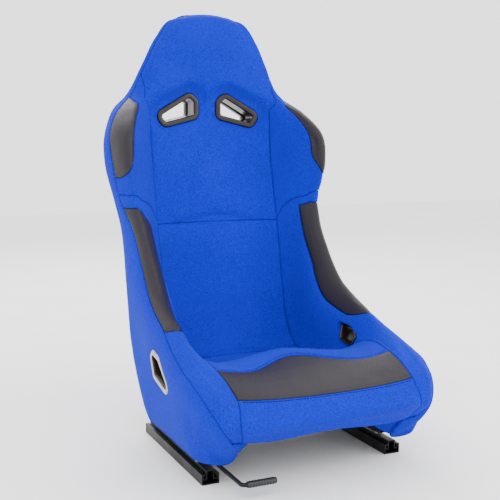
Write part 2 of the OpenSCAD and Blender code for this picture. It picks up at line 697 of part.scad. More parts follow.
// The rear half of the shell and its cover run from one rear edge round to the other
rear_from = HIP;
rear_run = within(run_all, rear_from, RIDGE);
rear_shell_run = within(run_all, rear_from, RIDGE - 0.5);
rear_t = concat(even(BASE + 0.04, REAR, 4), tail(even(-REAR, -BASE - 0.04, 4)));
module rear_layer(s_list, top, thick) {
    difference() {
        layer(s_list, function (s) rear_t, function (s, t) top, function (s, t) top + thick);
        for (side = [-1, 1]) side_of(side) rear_harness_cut();
    }
}
module rear_shell() {
    color(glass_fibre) rear_layer(rear_shell_run, cover_t + layer_gap, shell_t);
}
module rear_cover() {
    color(cloth) rear_layer(rear_run, 0, cover_t);
}
module side_of(side) {
    if (side < 0) mirror([1, 0, 0]) children();
    else children();
}

// ---- floor rails and sliders --------------------------------------------------------
rail_y = -3;
slider_l = rail_l - slider_short;
lip_gap = 10;
bolt_play = 0.6;
slider_t = 2;
flange_z = rail_t + ball_d + 2 * ball_play;
flange_x = rail_w / 2 - rail_t - 0.6;
ball_z = rail_t + ball_play + ball_d / 2;
ball_x = (slider_w / 2 + flange_x) / 2;
ball_pitch = 60;
slot_w = 5.4;
latch_slots = 13;

module along(y, length) {
    translate([0, y + length / 2, 0]) rotate([90, 0, 0]) linear_extrude(length) children();
}
module floor_rail(latch) {
    color(steel) difference() {
        along(rail_y, rail_l) difference() {
            translate([-rail_w / 2, 0]) square([rail_w, rail_h]);
            translate([-rail_w / 2 + rail_t, rail_t]) square([rail_w - 2 * rail_t, rail_h - 2 * rail_t]);
            translate([-lip_gap, rail_h - rail_t - 1]) square([2 * lip_gap, rail_t + 2]);
        }
        for (y = [-1, 1]) translate([0, y * bolt_span / 2, -1])
            cylinder(d = bolt_hole, h = rail_t + 2, $fn = 48);
        if (latch) for (i = [0 : latch_slots - 1])
            translate([rail_w / 2 - rail_t - 1, latch_y - (latch_slots - 1) / 2 * latch_pitch
                + i * latch_pitch - slot_w / 2, latch_low - 1]) cube([rail_t + 2, slot_w, tooth_h + 2]);
    }
}
module slider_rail() {
    half = slider_w / 2;
    rise = rail_h - rail_t - 0.6;
    color(steel) difference() {
        along(rail_y, slider_l) for (side = [0, 1]) mirror([side, 0])
            polygon([[-1, slider_z], [half, slider_z], [half, flange_z + slider_t],
                [flange_x - slider_t, flange_z + slider_t], [flange_x - slider_t, rise], [flange_x, rise],
                [flange_x, flange_z], [half - slider_t, flange_z],
                [half - slider_t, slider_z - slider_t], [-1, slider_z - slider_t]]);
        for (y = [-1, 1]) translate([0, y * mount_span / 2, slider_z - slider_t - 1])
            cylinder(d = screw_d + bolt_play, h = slider_t + 2, $fn = 32);
        for (y = rivet_places) translate([0, y, slider_z - slider_t - 1])
            cylinder(d = rivet_d + bolt_play, h = slider_t + 2, $fn = 24);
    }
}
module ball_places() {
    for (x = [-1, 1]) for (i = [-1, 0, 1]) translate([x * ball_x, i * ball_pitch, ball_z]) children();
}
module balls() {
    color(bright) ball_places() sphere(d = ball_d, $fn = 16);
}
cage_t = 2;
module ball_cage() {
    color(steel) difference() {
        translate([-flange_x + 0.6, -cage_l / 2, ball_z - cage_t / 2])
            cube([2 * flange_x - 1.2, cage_l, cage_t]);
        ball_places() translate([0, 0, -cage_t])
            cylinder(d = ball_d + 2 * ball_play, h = 2 * cage_t, $fn = 24);
    }
}
stop_d = 7;
stop_y = cage_l / 2 + travel / 2 + stop_d / 2 + 1;
module rail_stops() {
    color(bright) for (y = [-1, 1]) translate([0, y * stop_y, 0]) {
        translate([0, 0, rail_t]) cylinder(d = stop_d, h = ball_d, $fn = 32);
    }
}

// ---- base frame and its bolts -------------------------------------------------------
spacer_d = 18;
spacer_h = 7;
frame_z = slider_z + spacer_h;
frame_top = frame_z + tube_w;
side_tube_l = mount_span + 50;
head_d = slider_w - 2 * slider_t - 0.6;
head_h = 4;
nut_d = 15;
nut_h = 6.5;

module square_tube(length) {
    translate([-tube_w / 2, -length / 2, 0]) difference() {
        cube([tube_w, length, tube_w]);
        translate([tube_t, -1, tube_t]) cube([tube_w - 2 * tube_t, length + 2, tube_w - 2 * tube_t]);
    }
}
module mount_places() {
    for (x = [-1, 1]) for (y = [-1, 1]) translate([x * rail_span / 2, y * mount_span / 2, 0]) children();
}
module base_frame() {
    color(steel) difference() {
        union() {
            for (x = [-1, 1]) translate([x * rail_span / 2, 0, frame_z]) square_tube(side_tube_l);
            translate([0, -cross_front, frame_top]) rotate([0, 0, 90]) square_tube(rail_span + tube_w);
            translate([0, cross_rear, frame_z]) rotate([0, 0, 90]) square_tube(rail_span - tube_w);
            for (x = [-1, 1]) {
                translate([x * post_span / 2, -cross_front, frame_top + 1])
                    cylinder(d = post_d, h = boss_front_top - boss_h - frame_top - 1, $fn = 40);
                translate([x * post_span / 2, cross_rear, frame_z + 1])
                    cylinder(d = post_d, h = boss_rear_top - boss_h - frame_z - 1, $fn = 40);
            }
        }
        mount_places() translate([0, 0, frame_z - 1])
            cylinder(d = screw_d + bolt_play, h = tube_w + 2, $fn = 32);
        for (x = [-1, 1]) for (y = [-cross_front, cross_rear])
            translate([x * post_span / 2, y, frame_z - 1])
                cylinder(d = screw_d + bolt_play, h = boss_front_top, $fn = 32);
    }
}
module rail_spacers() {
    color(bright) mount_places() translate([0, 0, slider_z]) difference() {
        cylinder(d = spacer_d, h = spacer_h, $fn = 40);
        translate([0, 0, -1]) cylinder(d = screw_d + bolt_play, h = spacer_h + 2, $fn = 32);
    }
}
module rail_bolts() {
    color(bright) mount_places() {
        translate([0, 0, slider_z - slider_t - head_h]) cylinder(d = head_d, h = head_h, $fn = 32);
        translate([0, 0, slider_z - slider_t - 1])
            cylinder(d = screw_d, h = frame_top + nut_h + 3 - slider_z, $fn = 32);
        translate([0, 0, frame_top]) cylinder(d = nut_d, h = nut_h, $fn = 6);
    }
}
module pan_bolt(bottom, top) {
    translate([0, 0, bottom - head_h]) cylinder(d = nut_d, h = head_h, $fn = 6);
    translate([0, 0, bottom - 1]) cylinder(d = screw_d, h = top - 3 - bottom, $fn = 32);
}
module pan_bolts() {
    color(bright) for (x = [-1, 1]) {
        translate([x * post_span / 2, -cross_front, 0]) pan_bolt(frame_top, boss_front_top);
        translate([x * post_span / 2, cross_rear, 0]) pan_bolt(frame_z, boss_rear_top);
    }
}

// ---- release lever, on the right rail -----------------------------------------------
rod_x = -rail_span / 2 + rod_in;
rod_rear = -28;
rod_play = 0.16;
ear_t = 2.5;
ear_front = -100;
bracket_l = 70;
bracket_t = 2.5;
ear_w = 2 * rod_in - 20;
rivet_d = 5;
rivet_places = [ear_front + 16, ear_front + bracket_l - 16];
latch_y = ear_front + bracket_l / 2;
latch_low = 8;
tooth_h = 6;
tooth_w = 4.2;
latch_play = 0.4;
hub_d = rod_d + 5;
hub_l = 26;
arm_t = 3;
wire_d = 1.4;
coil_d = rod_d + 4;
coil_turns = 4;
coil_pitch = 2.2;

module lever_bracket() {
    x0 = -rail_span / 2 - slider_w / 2;
    color(steel) difference() {
        union() {
            translate([x0, ear_front, slider_z]) cube([rod_x - 8 - x0, bracket_l, bracket_t]);
            for (y = [ear_front, ear_front + bracket_l - ear_t])
                translate([rod_x - 10, y, rod_z - 7]) cube([18, ear_t, 14]);
        }
        translate([rod_x, ear_front - 1, rod_z]) rotate([-90, 0, 0])
            cylinder(d = rod_d + rod_play, h = bracket_l + 2, $fn = 40);
        for (y = rivet_places) translate([-rail_span / 2, y, slider_z - 1])
            cylinder(d = rivet_d + bolt_play, h = bracket_t + 2, $fn = 24);
    }
}
module lever_rivets() {
    color(bright) for (y = rivet_places) translate([-rail_span / 2, y, 0]) {
        translate([0, 0, slider_z - slider_t - 2]) cylinder(d = rivet_d + 4, h = 2, $fn = 24);
        translate([0, 0, slider_z - slider_t - 1]) cylinder(d = rivet_d, h = slider_t + bracket_t + 2, $fn = 24);
        translate([0, 0, slider_z + bracket_t]) cylinder(d = rivet_d + 4, h = 2, $fn = 24);
    }
}
module lever_rod() {
    color(steel) translate([rod_x, 0, rod_z]) {
        translate([0, rod_rear, 0]) rotate([90, 0, 0])
            cylinder(d = rod_d, h = rod_front - bend_r + rod_rear, $fn = 32);
        translate([bend_r, -rod_front + bend_r, 0]) rotate([0, 0, 180])
            rotate_extrude(angle = 90, $fn = 64) translate([bend_r, 0]) circle(d = rod_d, $fn = 32);
        translate([bend_r, -rod_front, 0]) rotate([0, 90, 0])
            cylinder(d = rod_d, h = grip_l - grip_end, $fn = 32);
    }
}
grip_end = 3;
rib_h = 0.5;
module lever_grip() {
    pitch = (grip_l - 8) / grip_ribs;
    color(plastic) translate([rod_x + bend_r + 1, -rod_front, rod_z]) rotate([0, 90, 0])
        rotate_extrude($fn = 32) polygon(concat(
            [[rod_d / 2 + 0.05, 0], [grip_d / 2 - 1, 0], [grip_d / 2 - 0.5, 1.5]],
            [for (i = [0 : grip_ribs - 1]) for (q = [[-rib_h, 0], [0, 0.25], [0, 0.6], [-rib_h, 0.85]])
                [grip_d / 2 + q[0], 4 + pitch * (i + q[1])]],
            [[grip_d / 2 - 0.5, grip_l - 2], [grip_d / 2 - 1.5, grip_l], [0, grip_l],
                [0, grip_l - grip_end - 0.5], [rod_d / 2 + 0.05, grip_l - grip_end - 0.5]]));
}
module latch_plate() {
    face_x = -rail_span / 2 + rail_w / 2;
    color(steel) translate([0, latch_y, 0]) difference() {
        union() {
            translate([rod_x, hub_l / 2, rod_z]) rotate([90, 0, 0])
                cylinder(d = hub_d, h = hub_l, $fn = 32);
            translate([rod_x - arm_t / 2 + 1, -hub_l / 2, latch_low])
                cube([arm_t, hub_l, rod_z - latch_low - rod_d / 2 - 0.5]);
            for (i = [0 : latch_teeth - 1])
                translate([face_x + latch_play, (i - (latch_teeth - 1) / 2) * latch_pitch - tooth_w / 2,
                    latch_low]) cube([rod_x - face_x, tooth_w, tooth_h]);
        }
        translate([rod_x, hub_l / 2 + 1, rod_z]) rotate([90, 0, 0])
            cylinder(d = rod_d + 0.1, h = hub_l + 2, $fn = 40);
    }
}
// Points of a spring wire wound round the rod, and the skin over six-sided rings
module lever_spring() {
    steps = 14 * coil_turns;
    rings = [for (i = [0 : steps]) let (a = 360 * i / 14, y = coil_pitch * i / 14)
        [for (k = [0 : 5]) let (r = coil_d / 2 + wire_d / 2 * cos(60 * k))
            [r * cos(a), y + wire_d / 2 * sin(60 * k), r * sin(a)]]];
    color(bright) translate([rod_x, ear_front + ear_t + wire_d / 2 + 0.1, rod_z]) polyhedron(
        [for (ring = rings) for (p = ring) p],
        concat([[for (k = [5 : -1 : 0]) k]], [[for (k = [0 : 5]) 6 * steps + k]],
            [for (i = [0 : steps - 1]) for (k = [0 : 5]) let (a = 6 * i + k, b = 6 * i + (k + 1) % 6)
                for (f = [[a, b, b + 6], [a, b + 6, a + 6]]) f]));
}

cushion_pad();
cushion_insert();
lower_back_pad();
upper_back_pad();
bolster_pad();  // left_bolster_pad
mirror([1, 0, 0]) bolster_pad();  // right_bolster_pad
wing_pad();  // left_wing_pad
mirror([1, 0, 0]) wing_pad();  // right_wing_pad
bolster_insert();  // left_bolster_insert
mirror([1, 0, 0]) bolster_insert();  // right_bolster_insert
wing_insert();  // left_wing_insert
mirror([1, 0, 0]) wing_insert();  // right_wing_insert
side_cover();  // left_side_cover
mirror([1, 0, 0]) side_cover();  // right_side_cover
harness_bezel();  // left_harness_bezel
mirror([1, 0, 0]) harness_bezel();  // right_harness_bezel
harness_rear_bezel();  // left_harness_rear_bezel
mirror([1, 0, 0]) harness_rear_bezel();  // right_harness_rear_bezel
lap_outer_bezel();  // left_lap_outer_bezel
mirror([1, 0, 0]) lap_outer_bezel();  // right_lap_outer_bezel
lap_inner_bezel();  // left_lap_inner_bezel
mirror([1, 0, 0]) lap_inner_bezel();  // right_lap_inner_bezel
pan_shell();
back_shell();
hip_shell();  // left_hip_shell
mirror([1, 0, 0]) hip_shell();  // right_hip_shell
wing_shell();  // left_wing_shell
mirror([1, 0, 0]) wing_shell();  // right_wing_shell
rear_shell();
rear_cover();
translate([rail_span / 2, 0, 0]) floor_rail(false);  // left_floor_rail
translate([-rail_span / 2, 0, 0]) floor_rail(true);  // right_floor_rail
translate([rail_span / 2, 0, 0]) rail_stops();  // left_rail_stops
translate([-rail_span / 2, 0, 0]) rail_stops();  // right_rail_stops
translate([rail_span / 2, 0, 0]) slider_rail();  // left_slider_rail
translate([-rail_span / 2, 0, 0]) slider_rail();  // right_slider_rail
translate([rail_span / 2, 0, 0]) ball_cage();  // left_ball_cage
translate([-rail_span / 2, 0, 0]) ball_cage();  // right_ball_cage
translate([rail_span / 2, 0, 0]) balls();  // left_balls
translate([-rail_span / 2, 0, 0]) balls();  // right_balls
base_frame();
rail_spacers();
rail_bolts();
pan_bolts();
lever_bracket();
lever_rivets();
lever_spring();
lever_rod();
lever_grip();
latch_plate();
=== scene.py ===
# %% [markdown]
# # A fixed-back racing seat on sliding rails
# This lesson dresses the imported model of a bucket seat: blue knitted cloth over foam, grey vinyl
# patches where the sitter's legs and shoulders rub, plastic frames round the belt slots, and a black
# steel base on two rails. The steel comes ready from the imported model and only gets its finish. The
# upholstery is made here, panel by panel, on the same guide curves as the solids, and a short cloth
# simulation lets each padded panel settle.

import math

import bmesh
import bpy
import numpy as np
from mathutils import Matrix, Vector
from mathutils.bvhtree import BVHTree


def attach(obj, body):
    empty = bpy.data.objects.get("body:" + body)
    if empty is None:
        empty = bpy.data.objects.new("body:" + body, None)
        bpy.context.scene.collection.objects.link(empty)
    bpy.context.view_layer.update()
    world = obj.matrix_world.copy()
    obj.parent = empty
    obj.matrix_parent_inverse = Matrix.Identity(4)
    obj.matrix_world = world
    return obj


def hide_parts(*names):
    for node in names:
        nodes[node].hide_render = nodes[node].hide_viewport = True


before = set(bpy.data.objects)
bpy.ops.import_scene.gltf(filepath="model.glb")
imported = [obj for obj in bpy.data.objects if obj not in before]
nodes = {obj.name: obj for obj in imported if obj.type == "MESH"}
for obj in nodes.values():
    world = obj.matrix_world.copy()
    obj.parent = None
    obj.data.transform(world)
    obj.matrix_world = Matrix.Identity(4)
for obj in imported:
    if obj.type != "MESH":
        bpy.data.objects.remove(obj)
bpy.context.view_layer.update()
print("nodes in the frame:", len(nodes))

# %% [markdown]
# ## The seat's surface
# The bucket could be sculpted by hand, but its two sides would differ and its seams would wander. So the
# whole seat body is one smooth skin, worked out from typed points. Eight guide curves run along it, from
# the lower edge of its front panel over the cushion, up the back and to the ridge on top of the head. A
# place on the skin has two numbers: s counts the stations along the seat, and t the guide curves across
# it, from 0 in the middle of the padded side, over the seam at 1, the bolster's ledge at 2, its crest at
# 3 and its rim seam at 4, to the fullest line of the outer side at 5, the lower edge at 6 and the middle
# of the rear at 7. Minus t is the right half. Sizes are typed in millimetres and turned into metres once.

# %% Sizes of the seat body
MM = 0.001
top_z, front_y, slot_y, head_y, head_t = 926, 289, 338, 310, 64
lip_z, thigh_z, hollow_z, lumbar_z, wing_z = 104, 212, 152, 449, 640
cushion_x, panel_x, thigh_x, hip_x, wing_x = 187, 150, 226, 199, 235
wing_y = slot_y - 116
foot_z, foot_x = 56, 236
head_fill, head_from, head_to = 5, 18.3, 20.1
head_rear = head_y + head_t
LIP, ROLL, CREST, CREASE, HIP, LUMBAR = 0, 2, 5, 8, 9, 11
SLOPE, NECK, BROW, RIDGE = 15, 16, 18, 20
SEAM, LEDGE, TOP, RIM, WALL, BASE, REAR = 1, 2, 3, 4, 5, 6, 7
HANDS = (("left", 1), ("right", -1))


def pair(part):
    """The names of a part on both sides."""
    return [f"{hand}_{part}" for hand, _ in HANDS]


print("height and front of the seat, mm:", top_z, -front_y)

# %% Stations: centre, seam, crest, step to the rim, wall, base, rear
stations = [
    [[-front_y + 26, lip_z], [175, -front_y + 26, lip_z + 1], [190, -front_y + 27, lip_z + 2],
     [4, 2, 0], [189, -front_y + 31, lip_z - 3], [172, -front_y + 39, lip_z - 9],
     [-front_y + 60, lip_z - 30]],
    [[-front_y, lip_z + 32], [188, -front_y + 2, lip_z + 34], [206, -front_y + 6, lip_z + 33],
     [10, 6, -6], [211, -front_y + 32, lip_z - 6], [172, -front_y + 79, foot_z - 4],
     [-front_y + 60, foot_z]],
    [[-front_y + 14, lip_z + 67], [cushion_x - 3, -front_y + 21, lip_z + 74],
     [thigh_x - 8, -front_y + 26, lip_z + 76], [18, 8, -10], [240, -front_y + 58, lip_z + 16],
     [foot_x - 26, -front_y + 68, foot_z], [-front_y + 60, foot_z - 10]],
    [[-front_y + 46, thigh_z - 25], [cushion_x - 2, -front_y + 53, thigh_z - 14],
     [thigh_x - 1, -front_y + 66, thigh_z - 6], [21, 7, -9], [250, -front_y + 90, lip_z + 28],
     [foot_x - 5, -front_y + 94, foot_z], [-front_y + 80, foot_z - 20]],
    [[-160, thigh_z - 9], [cushion_x, -172, thigh_z + 6], [thigh_x, -162, thigh_z + 16],
     [22, 8, -10], [255, -150, lip_z + 36], [foot_x, -140, foot_z], [-140, foot_z - 20]],
    [[-70, thigh_z], [cushion_x - 1, -86, thigh_z + 9], [thigh_x - 6, -82, thigh_z + 42],
     [23, 8, -11], [252, -70, lip_z + 46], [foot_x, -50, foot_z], [-50, foot_z - 20]],
    [[25, hollow_z + 18], [169, 8, hollow_z + 27], [hip_x + 14, -26, 278], [24, 14, -9],
     [247, 14, lip_z + 56], [foot_x, 30, foot_z], [30, foot_z - 20]],
    [[105, hollow_z - 1], [157, 92, hollow_z + 6], [hip_x + 17, 22, 296], [19, 20, -6],
     [244, 82, lip_z + 70], [foot_x, 86, foot_z + 2], [86, foot_z - 20]],
    [[168, hollow_z + 4], [panel_x, 164, hollow_z + 10], [hip_x + 15, 68, 320], [17, 26, -2],
     [241, 146, lip_z + 92], [foot_x - 3, 152, foot_z + 50], [160, foot_z + 34]],
    [[205, hollow_z + 58], [panel_x - 2, 204, hollow_z + 58], [hip_x + 13, 102, 353], [17, 28, 0],
     [239, 196, lip_z + 150], [foot_x - 10, 214, foot_z + 110], [226, foot_z + 100]],
    [[233, hollow_z + 150], [panel_x - 1, 232, hollow_z + 150], [hip_x + 12, 134, 393],
     [17, 30, 0], [238, 226, 330], [foot_x - 18, 272, 290], [286, 286]],
    [[slot_y - 66, lumbar_z], [panel_x, slot_y - 73, lumbar_z - 2], [hip_x + 14, 176, lumbar_z + 3],
     [18, 32, -1], [236, 252, lumbar_z - 16], [foot_x - 22, 322, lumbar_z - 12],
     [338, lumbar_z - 14]],
    [[slot_y - 40, lumbar_z + 72], [panel_x, slot_y - 54, lumbar_z + 70],
     [hip_x + 22, 200, lumbar_z + 55], [22, 42, -3], [245, 284, lumbar_z + 50],
     [foot_x - 23, 342, lumbar_z + 62], [360, lumbar_z + 62]],
    [[slot_y - 14, wing_z - 38], [panel_x, slot_y - 36, wing_z - 40],
     [wing_x - 1, wing_y - 32, wing_z - 50], [25, 52, 0], [wing_x + 29, wing_y + 66, wing_z - 52],
     [wing_x - 12, wing_y + 142, wing_z - 40], [wing_y + 162, wing_z - 38]],
    [[slot_y - 2, wing_z + 30], [panel_x + 1, slot_y - 29, wing_z + 26],
     [wing_x - 8, wing_y - 18, wing_z + 16], [27, 52, 4], [wing_x + 24, wing_y + 78, wing_z + 12],
     [wing_x - 13, wing_y + 152, wing_z + 30], [wing_y + 176, wing_z + 30]],
    [[slot_y, wing_z + 68], [panel_x, slot_y - 27, wing_z + 66], [203, wing_y + 26, wing_z + 58],
     [24, 38, 6], [234, wing_y + 102, wing_z + 62], [207, wing_y + 158, wing_z + 76],
     [wing_y + 180, wing_z + 76]],
    [[slot_y - 3, top_z - 186], [142, slot_y - 24, top_z - 186], [170, slot_y - 32, top_z - 188],
     [18, 22, 4], [193, slot_y + 12, top_z - 184], [178, slot_y + 44, top_z - 182],
     [slot_y + 60, top_z - 182]],
    [[head_y + 9, top_z - 112], [108, head_y + 6, top_z - 112], [141, head_y + 6, top_z - 112],
     [11, 18, 1], [154, head_y + 38, top_z - 111], [140, head_rear - 4, top_z - 110],
     [head_rear + 9, top_z - 110]],
    [[head_y, top_z - 58], [88, head_y + 1, top_z - 58], [115, head_y + 5, top_z - 59],
     [11, 16, -1], [128, head_y + 34, top_z - 59], [114, head_rear - 10, top_z - 58],
     [head_rear - 2, top_z - 57]],
    [[head_y + 7, top_z - 17], [61, head_y + 8, top_z - 19], [86, head_y + 12, top_z - 22],
     [12, 12, -2], [100, head_y + 34, top_z - 25], [89, head_rear - 15, top_z - 24],
     [head_rear - 11, top_z - 19]],
    [[head_y + 30, top_z], [46, head_y + 30, top_z - 2], [67, head_y + 30, top_z - 6],
     [10, 2, -4], [80, head_y + 32, top_z - 12], [72, head_y + 34, top_z - 7],
     [head_y + 33, top_z - 0.5]],
]
print("stations along the seat:", len(stations))

# %% [markdown]
# A station becomes eight points. The ledge isn't typed: it lies a little in and down from the crest, so
# that every bolster gets a soft top. Between the points runs a cubic Hermite curve, which passes
# through them with a slope made from its two neighbouring chords, each weighted by the other's length.
# That weighting keeps long and short steps from making bumps.

# %% The smooth skin
MIRROR = np.array([-1.0, 1.0, 1.0])


ledge_in, ledge_share, ledge_drop = 10, 0.16, 0.2


def eight_points(row):
    """The points of one station, from the centre outwards and round to the rear. The ledge lies inside
    the crest by ledge_share of the rise from seam to crest, and lower by ledge_drop of it."""
    centre, seam, crest, step, wall, base, rear = (np.array(p, float) for p in row)
    rise = crest - seam
    inwards = max(ledge_in, ledge_share * np.linalg.norm(rise))
    ledge = crest - [inwards, ledge_drop * rise[1], ledge_drop * rise[2]]
    return [[0, *centre], seam, ledge, crest, crest + step, wall, base, [0, *rear]]


def slopes(points, steps):
    """Slope at each point of curves (..., n, 3): neighbouring chords, weighted by each other's step."""
    chord = np.diff(points, axis=-2) / steps[..., None]
    a, b = steps[..., :-1, None], steps[..., 1:, None]
    inner = (chord[..., :-1, :] * b + chord[..., 1:, :] * a) / (a + b)
    return np.concatenate([chord[..., :1, :], inner, chord[..., -1:, :]], axis=-2)


def hermite(p, q, m, n, f):
    """p(1-3f^2+2f^3) + m f(1-f)^2 + q(3f^2-2f^3) - n f^2(1-f), with slopes m at p and n at q."""
    return (p * (1 + f * f * (2 * f - 3)) + m * (f * (1 - f) ** 2) + q * (f * f * (3 - 2 * f))
            - n * (f * f * (1 - f)))


net = np.array([eight_points(row) for row in stations], float) * MM
station_step = (np.linalg.norm(np.diff(net[:, 0], axis=0), axis=1)
                + np.linalg.norm(np.diff(net[:, RIM], axis=0), axis=1)) / 2
net_slope = slopes(net.transpose(1, 0, 2),
                   np.broadcast_to(station_step, (8, len(stations) - 1))).transpose(1, 0, 2)


def skin(s, t):
    """Points of the seat's skin at places s along and t across it, for arrays of any one shape: a curve
    along each guide gives eight points at s, and a curve across them gives the one at t. Foam rounds
    the top of the head: z rises by head_fill * sin(pi * u), u over head_from to head_to."""
    s, t = np.broadcast_arrays(np.asarray(s, float), np.asarray(t, float))
    i = np.clip(np.floor(s).astype(int), 0, len(net) - 2)
    f, h = (s - i)[..., None, None], station_step[i][..., None, None]
    half = hermite(net[i], net[i + 1], net_slope[i] * h, net_slope[i + 1] * h, f)
    points = np.concatenate([half[..., SEAM:SEAM + 1, :] * MIRROR, half,
                             half[..., BASE:BASE + 1, :] * MIRROR], axis=-2)
    steps = np.maximum(4 * MM, np.linalg.norm(np.diff(points, axis=-2), axis=-1))
    slope = slopes(points, steps)
    u = np.abs(t) + 1
    k = np.clip(np.floor(u).astype(int), 0, 8)
    pick = lambda a, j: np.take_along_axis(a, j[..., None, None], -2)[..., 0, :]
    h = np.take_along_axis(steps, k[..., None], -1)
    point = hermite(pick(points, k), pick(points, k + 1), pick(slope, k) * h, pick(slope, k + 1) * h,
                    (u - k)[..., None])
    point[..., 0] *= np.where(t < 0, -1, 1)
    point[..., 2] += head_fill * MM * np.sin(np.pi * np.clip((s - head_from) / (head_to - head_from), 0, 1))
    return point


def outward(s, t, nudge=0.02):
    """Unit normals of the skin, from two small steps along and across it at each place. Across the
    middle, the step back comes from the mirrored half."""
    s, t = np.broadcast_arrays(np.asarray(s, float), np.asarray(t, float))
    a = np.abs(t)
    along = skin(s + nudge, a) - skin(s - nudge, a)
    before = skin(s, np.abs(a - nudge))
    before[..., 0] *= np.where(a < nudge, -1, 1)
    over = skin(s, a + nudge) - before
    n = np.cross(over, along)
    n /= np.linalg.norm(n, axis=-1, keepdims=True)
    n[..., 0] *= np.where(t < 0, -1, 1)
    return n


print("front of the cushion, middle:", np.round(skin(1, 0), 4), "its normal:", np.round(outward(1.0, 0.0), 2))

# %% [markdown]
# ## Mesh helpers
# Panels are grids, so their faces come from index arithmetic and go into the mesh in one piece. A solid
# panel has an outer and an inner face and a wall round its edge, which closes it. The wall follows the
# edges that only one face of the outer grid uses.

# %% Grids to closed meshes
def add_mesh(name, points, quads, uv=None):
    """A mesh object of quads, smooth shaded, at the origin, with an optional UV map in metres."""
    mesh = bpy.data.meshes.new(name)
    used, quads = np.unique(quads, return_inverse=True)
    quads = quads.reshape(-1, 4)
    points = points.reshape(-1, 3)[used]
    mesh.vertices.add(len(points))
    mesh.vertices.foreach_set("co", points.ravel())
    mesh.loops.add(quads.size)
    mesh.loops.foreach_set("vertex_index", quads.ravel().astype(np.int32))
    mesh.polygons.add(len(quads))
    mesh.polygons.foreach_set("loop_start", np.arange(0, quads.size, 4, dtype=np.int32))
    mesh.polygons.foreach_set("use_smooth", np.ones(len(quads), bool))
    if uv is not None:
        layer = mesh.uv_layers.new(name="weave")
        layer.data.foreach_set("uv", uv.reshape(-1, 2)[used][quads.ravel()].astype(np.float32).ravel())
    mesh.update(calc_edges=True)
    mesh.validate()
    obj = bpy.data.objects.new(name, mesh)
    bpy.context.scene.collection.objects.link(obj)
    return obj


def grid_quads(n, m, wrap=False, closed=False):
    """Quads of an n by m grid; wrap joins the last column to the first, closed the last row."""
    i, j = np.meshgrid(np.arange(n if closed else n - 1), np.arange(m if wrap else m - 1), indexing="ij")
    below, k = (i + 1) % n, (j + 1) % m
    return np.stack([i * m + j, below * m + j, below * m + k, i * m + k], -1).reshape(-1, 4)


def mesh_of(rows, columns):
    """Two grids that hold every pair of a row value and a column value."""
    return np.meshgrid(rows, columns, indexing="ij")


def walls(quads, shift):
    """Quads that join the open edge of a patch of quads to the same edge, shift further on."""
    a = quads.ravel()
    b = np.roll(quads, -1, axis=1).ravel()
    size = int(quads.max()) + 1
    inside = np.isin(a * size + b, b * size + a)
    a, b = a[~inside], b[~inside]
    return np.stack([b, a, a + shift, b + shift], -1)


def slab(name, outer, under, quads, uv):
    """A closed panel: quads on the outer grid, the same turned round on the under grid, and walls."""
    shift = outer[..., 0].size
    return add_mesh(name, np.concatenate([outer.reshape(-1, 3), under.reshape(-1, 3)]),
                    np.concatenate([quads, quads[:, ::-1] + shift, walls(quads, shift)]),
                    np.concatenate([uv.reshape(-1, 2)] * 2))


def lengths(points, axis):
    """Distance travelled along one axis of a grid of points, from its middle."""
    step = np.linalg.norm(np.diff(points, axis=axis), axis=-1)
    far = np.concatenate([np.zeros_like(np.take(step, [0], axis)), np.cumsum(step, axis)], axis)
    return far - np.take(far, [far.shape[axis] // 2], axis)


def fixed(value):
    """A function of one or two arrays that is the same everywhere."""
    return lambda s, t=0: value + 0 * s


print("quads of a three by four grid:", len(grid_quads(3, 4)))

# %% [markdown]
# ## Finishes
# Each finish is one Principled shader. What changes over the surface, such as colour, roughness and
# bump, comes from procedural nodes. What is the same all over is set on the shader itself. The knit, the
# leather grain and the soft mottling are node groups, so that several finishes share them.

# %% Node helpers
def node(tree, kind, inputs=None, **settings):
    """Adds a node, sets its properties, and fills or links its inputs."""
    n = tree.nodes.new(kind)
    for key, value in settings.items():
        setattr(n, key, value)
    for key, value in (inputs or {}).items():
        if isinstance(value, bpy.types.NodeSocket):
            tree.links.new(value, n.inputs[key])
        else:
            n.inputs[key].default_value = value
    return n


def math_node(tree, operation, *values):
    """The result of one operation on two values, or on one."""
    return node(tree, "ShaderNodeMath", dict(enumerate(values)), operation=operation).outputs[0]


def group(name, *outputs):
    """A node group fed with a vector; returns its tree, the vector, and the places of its results."""
    tree = bpy.data.node_groups.new(name, "ShaderNodeTree")
    tree.interface.new_socket("Vector", in_out="INPUT", socket_type="NodeSocketVector")
    for label in outputs:
        tree.interface.new_socket(label, in_out="OUTPUT", socket_type="NodeSocketFloat")
    return tree, tree.nodes.new("NodeGroupInput").outputs[0], tree.nodes.new("NodeGroupOutput").inputs


def ramp(tree, value, stops):
    """A colour ramp through (place, colour) stops."""
    n = node(tree, "ShaderNodeValToRGB", {"Fac": value})
    while len(n.color_ramp.elements) < len(stops):
        n.color_ramp.elements.new(0.5)
    for element, (place, colour) in zip(n.color_ramp.elements, stops):
        element.position = place
        element.color = (*colour, 1)
    return n.outputs["Color"]


def weighted(tree, a, share_a, b, share_b):
    """The sum a * share_a + b * share_b."""
    return math_node(tree, "ADD", math_node(tree, "MULTIPLY", a, share_a),
                     math_node(tree, "MULTIPLY", b, share_b))


def noise(tree, vector, scale, detail=2.0, output="Fac"):
    """Soft noise over a vector."""
    return node(tree, "ShaderNodeTexNoise",
                {"Vector": vector, "Scale": scale, "Detail": detail}).outputs[output]


def map_range(tree, value, source, target):
    """Maps a value from one (low, high) range to another."""
    ends = dict(zip(("From Min", "From Max", "To Min", "To Max"), (*source, *target)))
    return node(tree, "ShaderNodeMapRange", {"Value": value, **ends}).outputs[0]


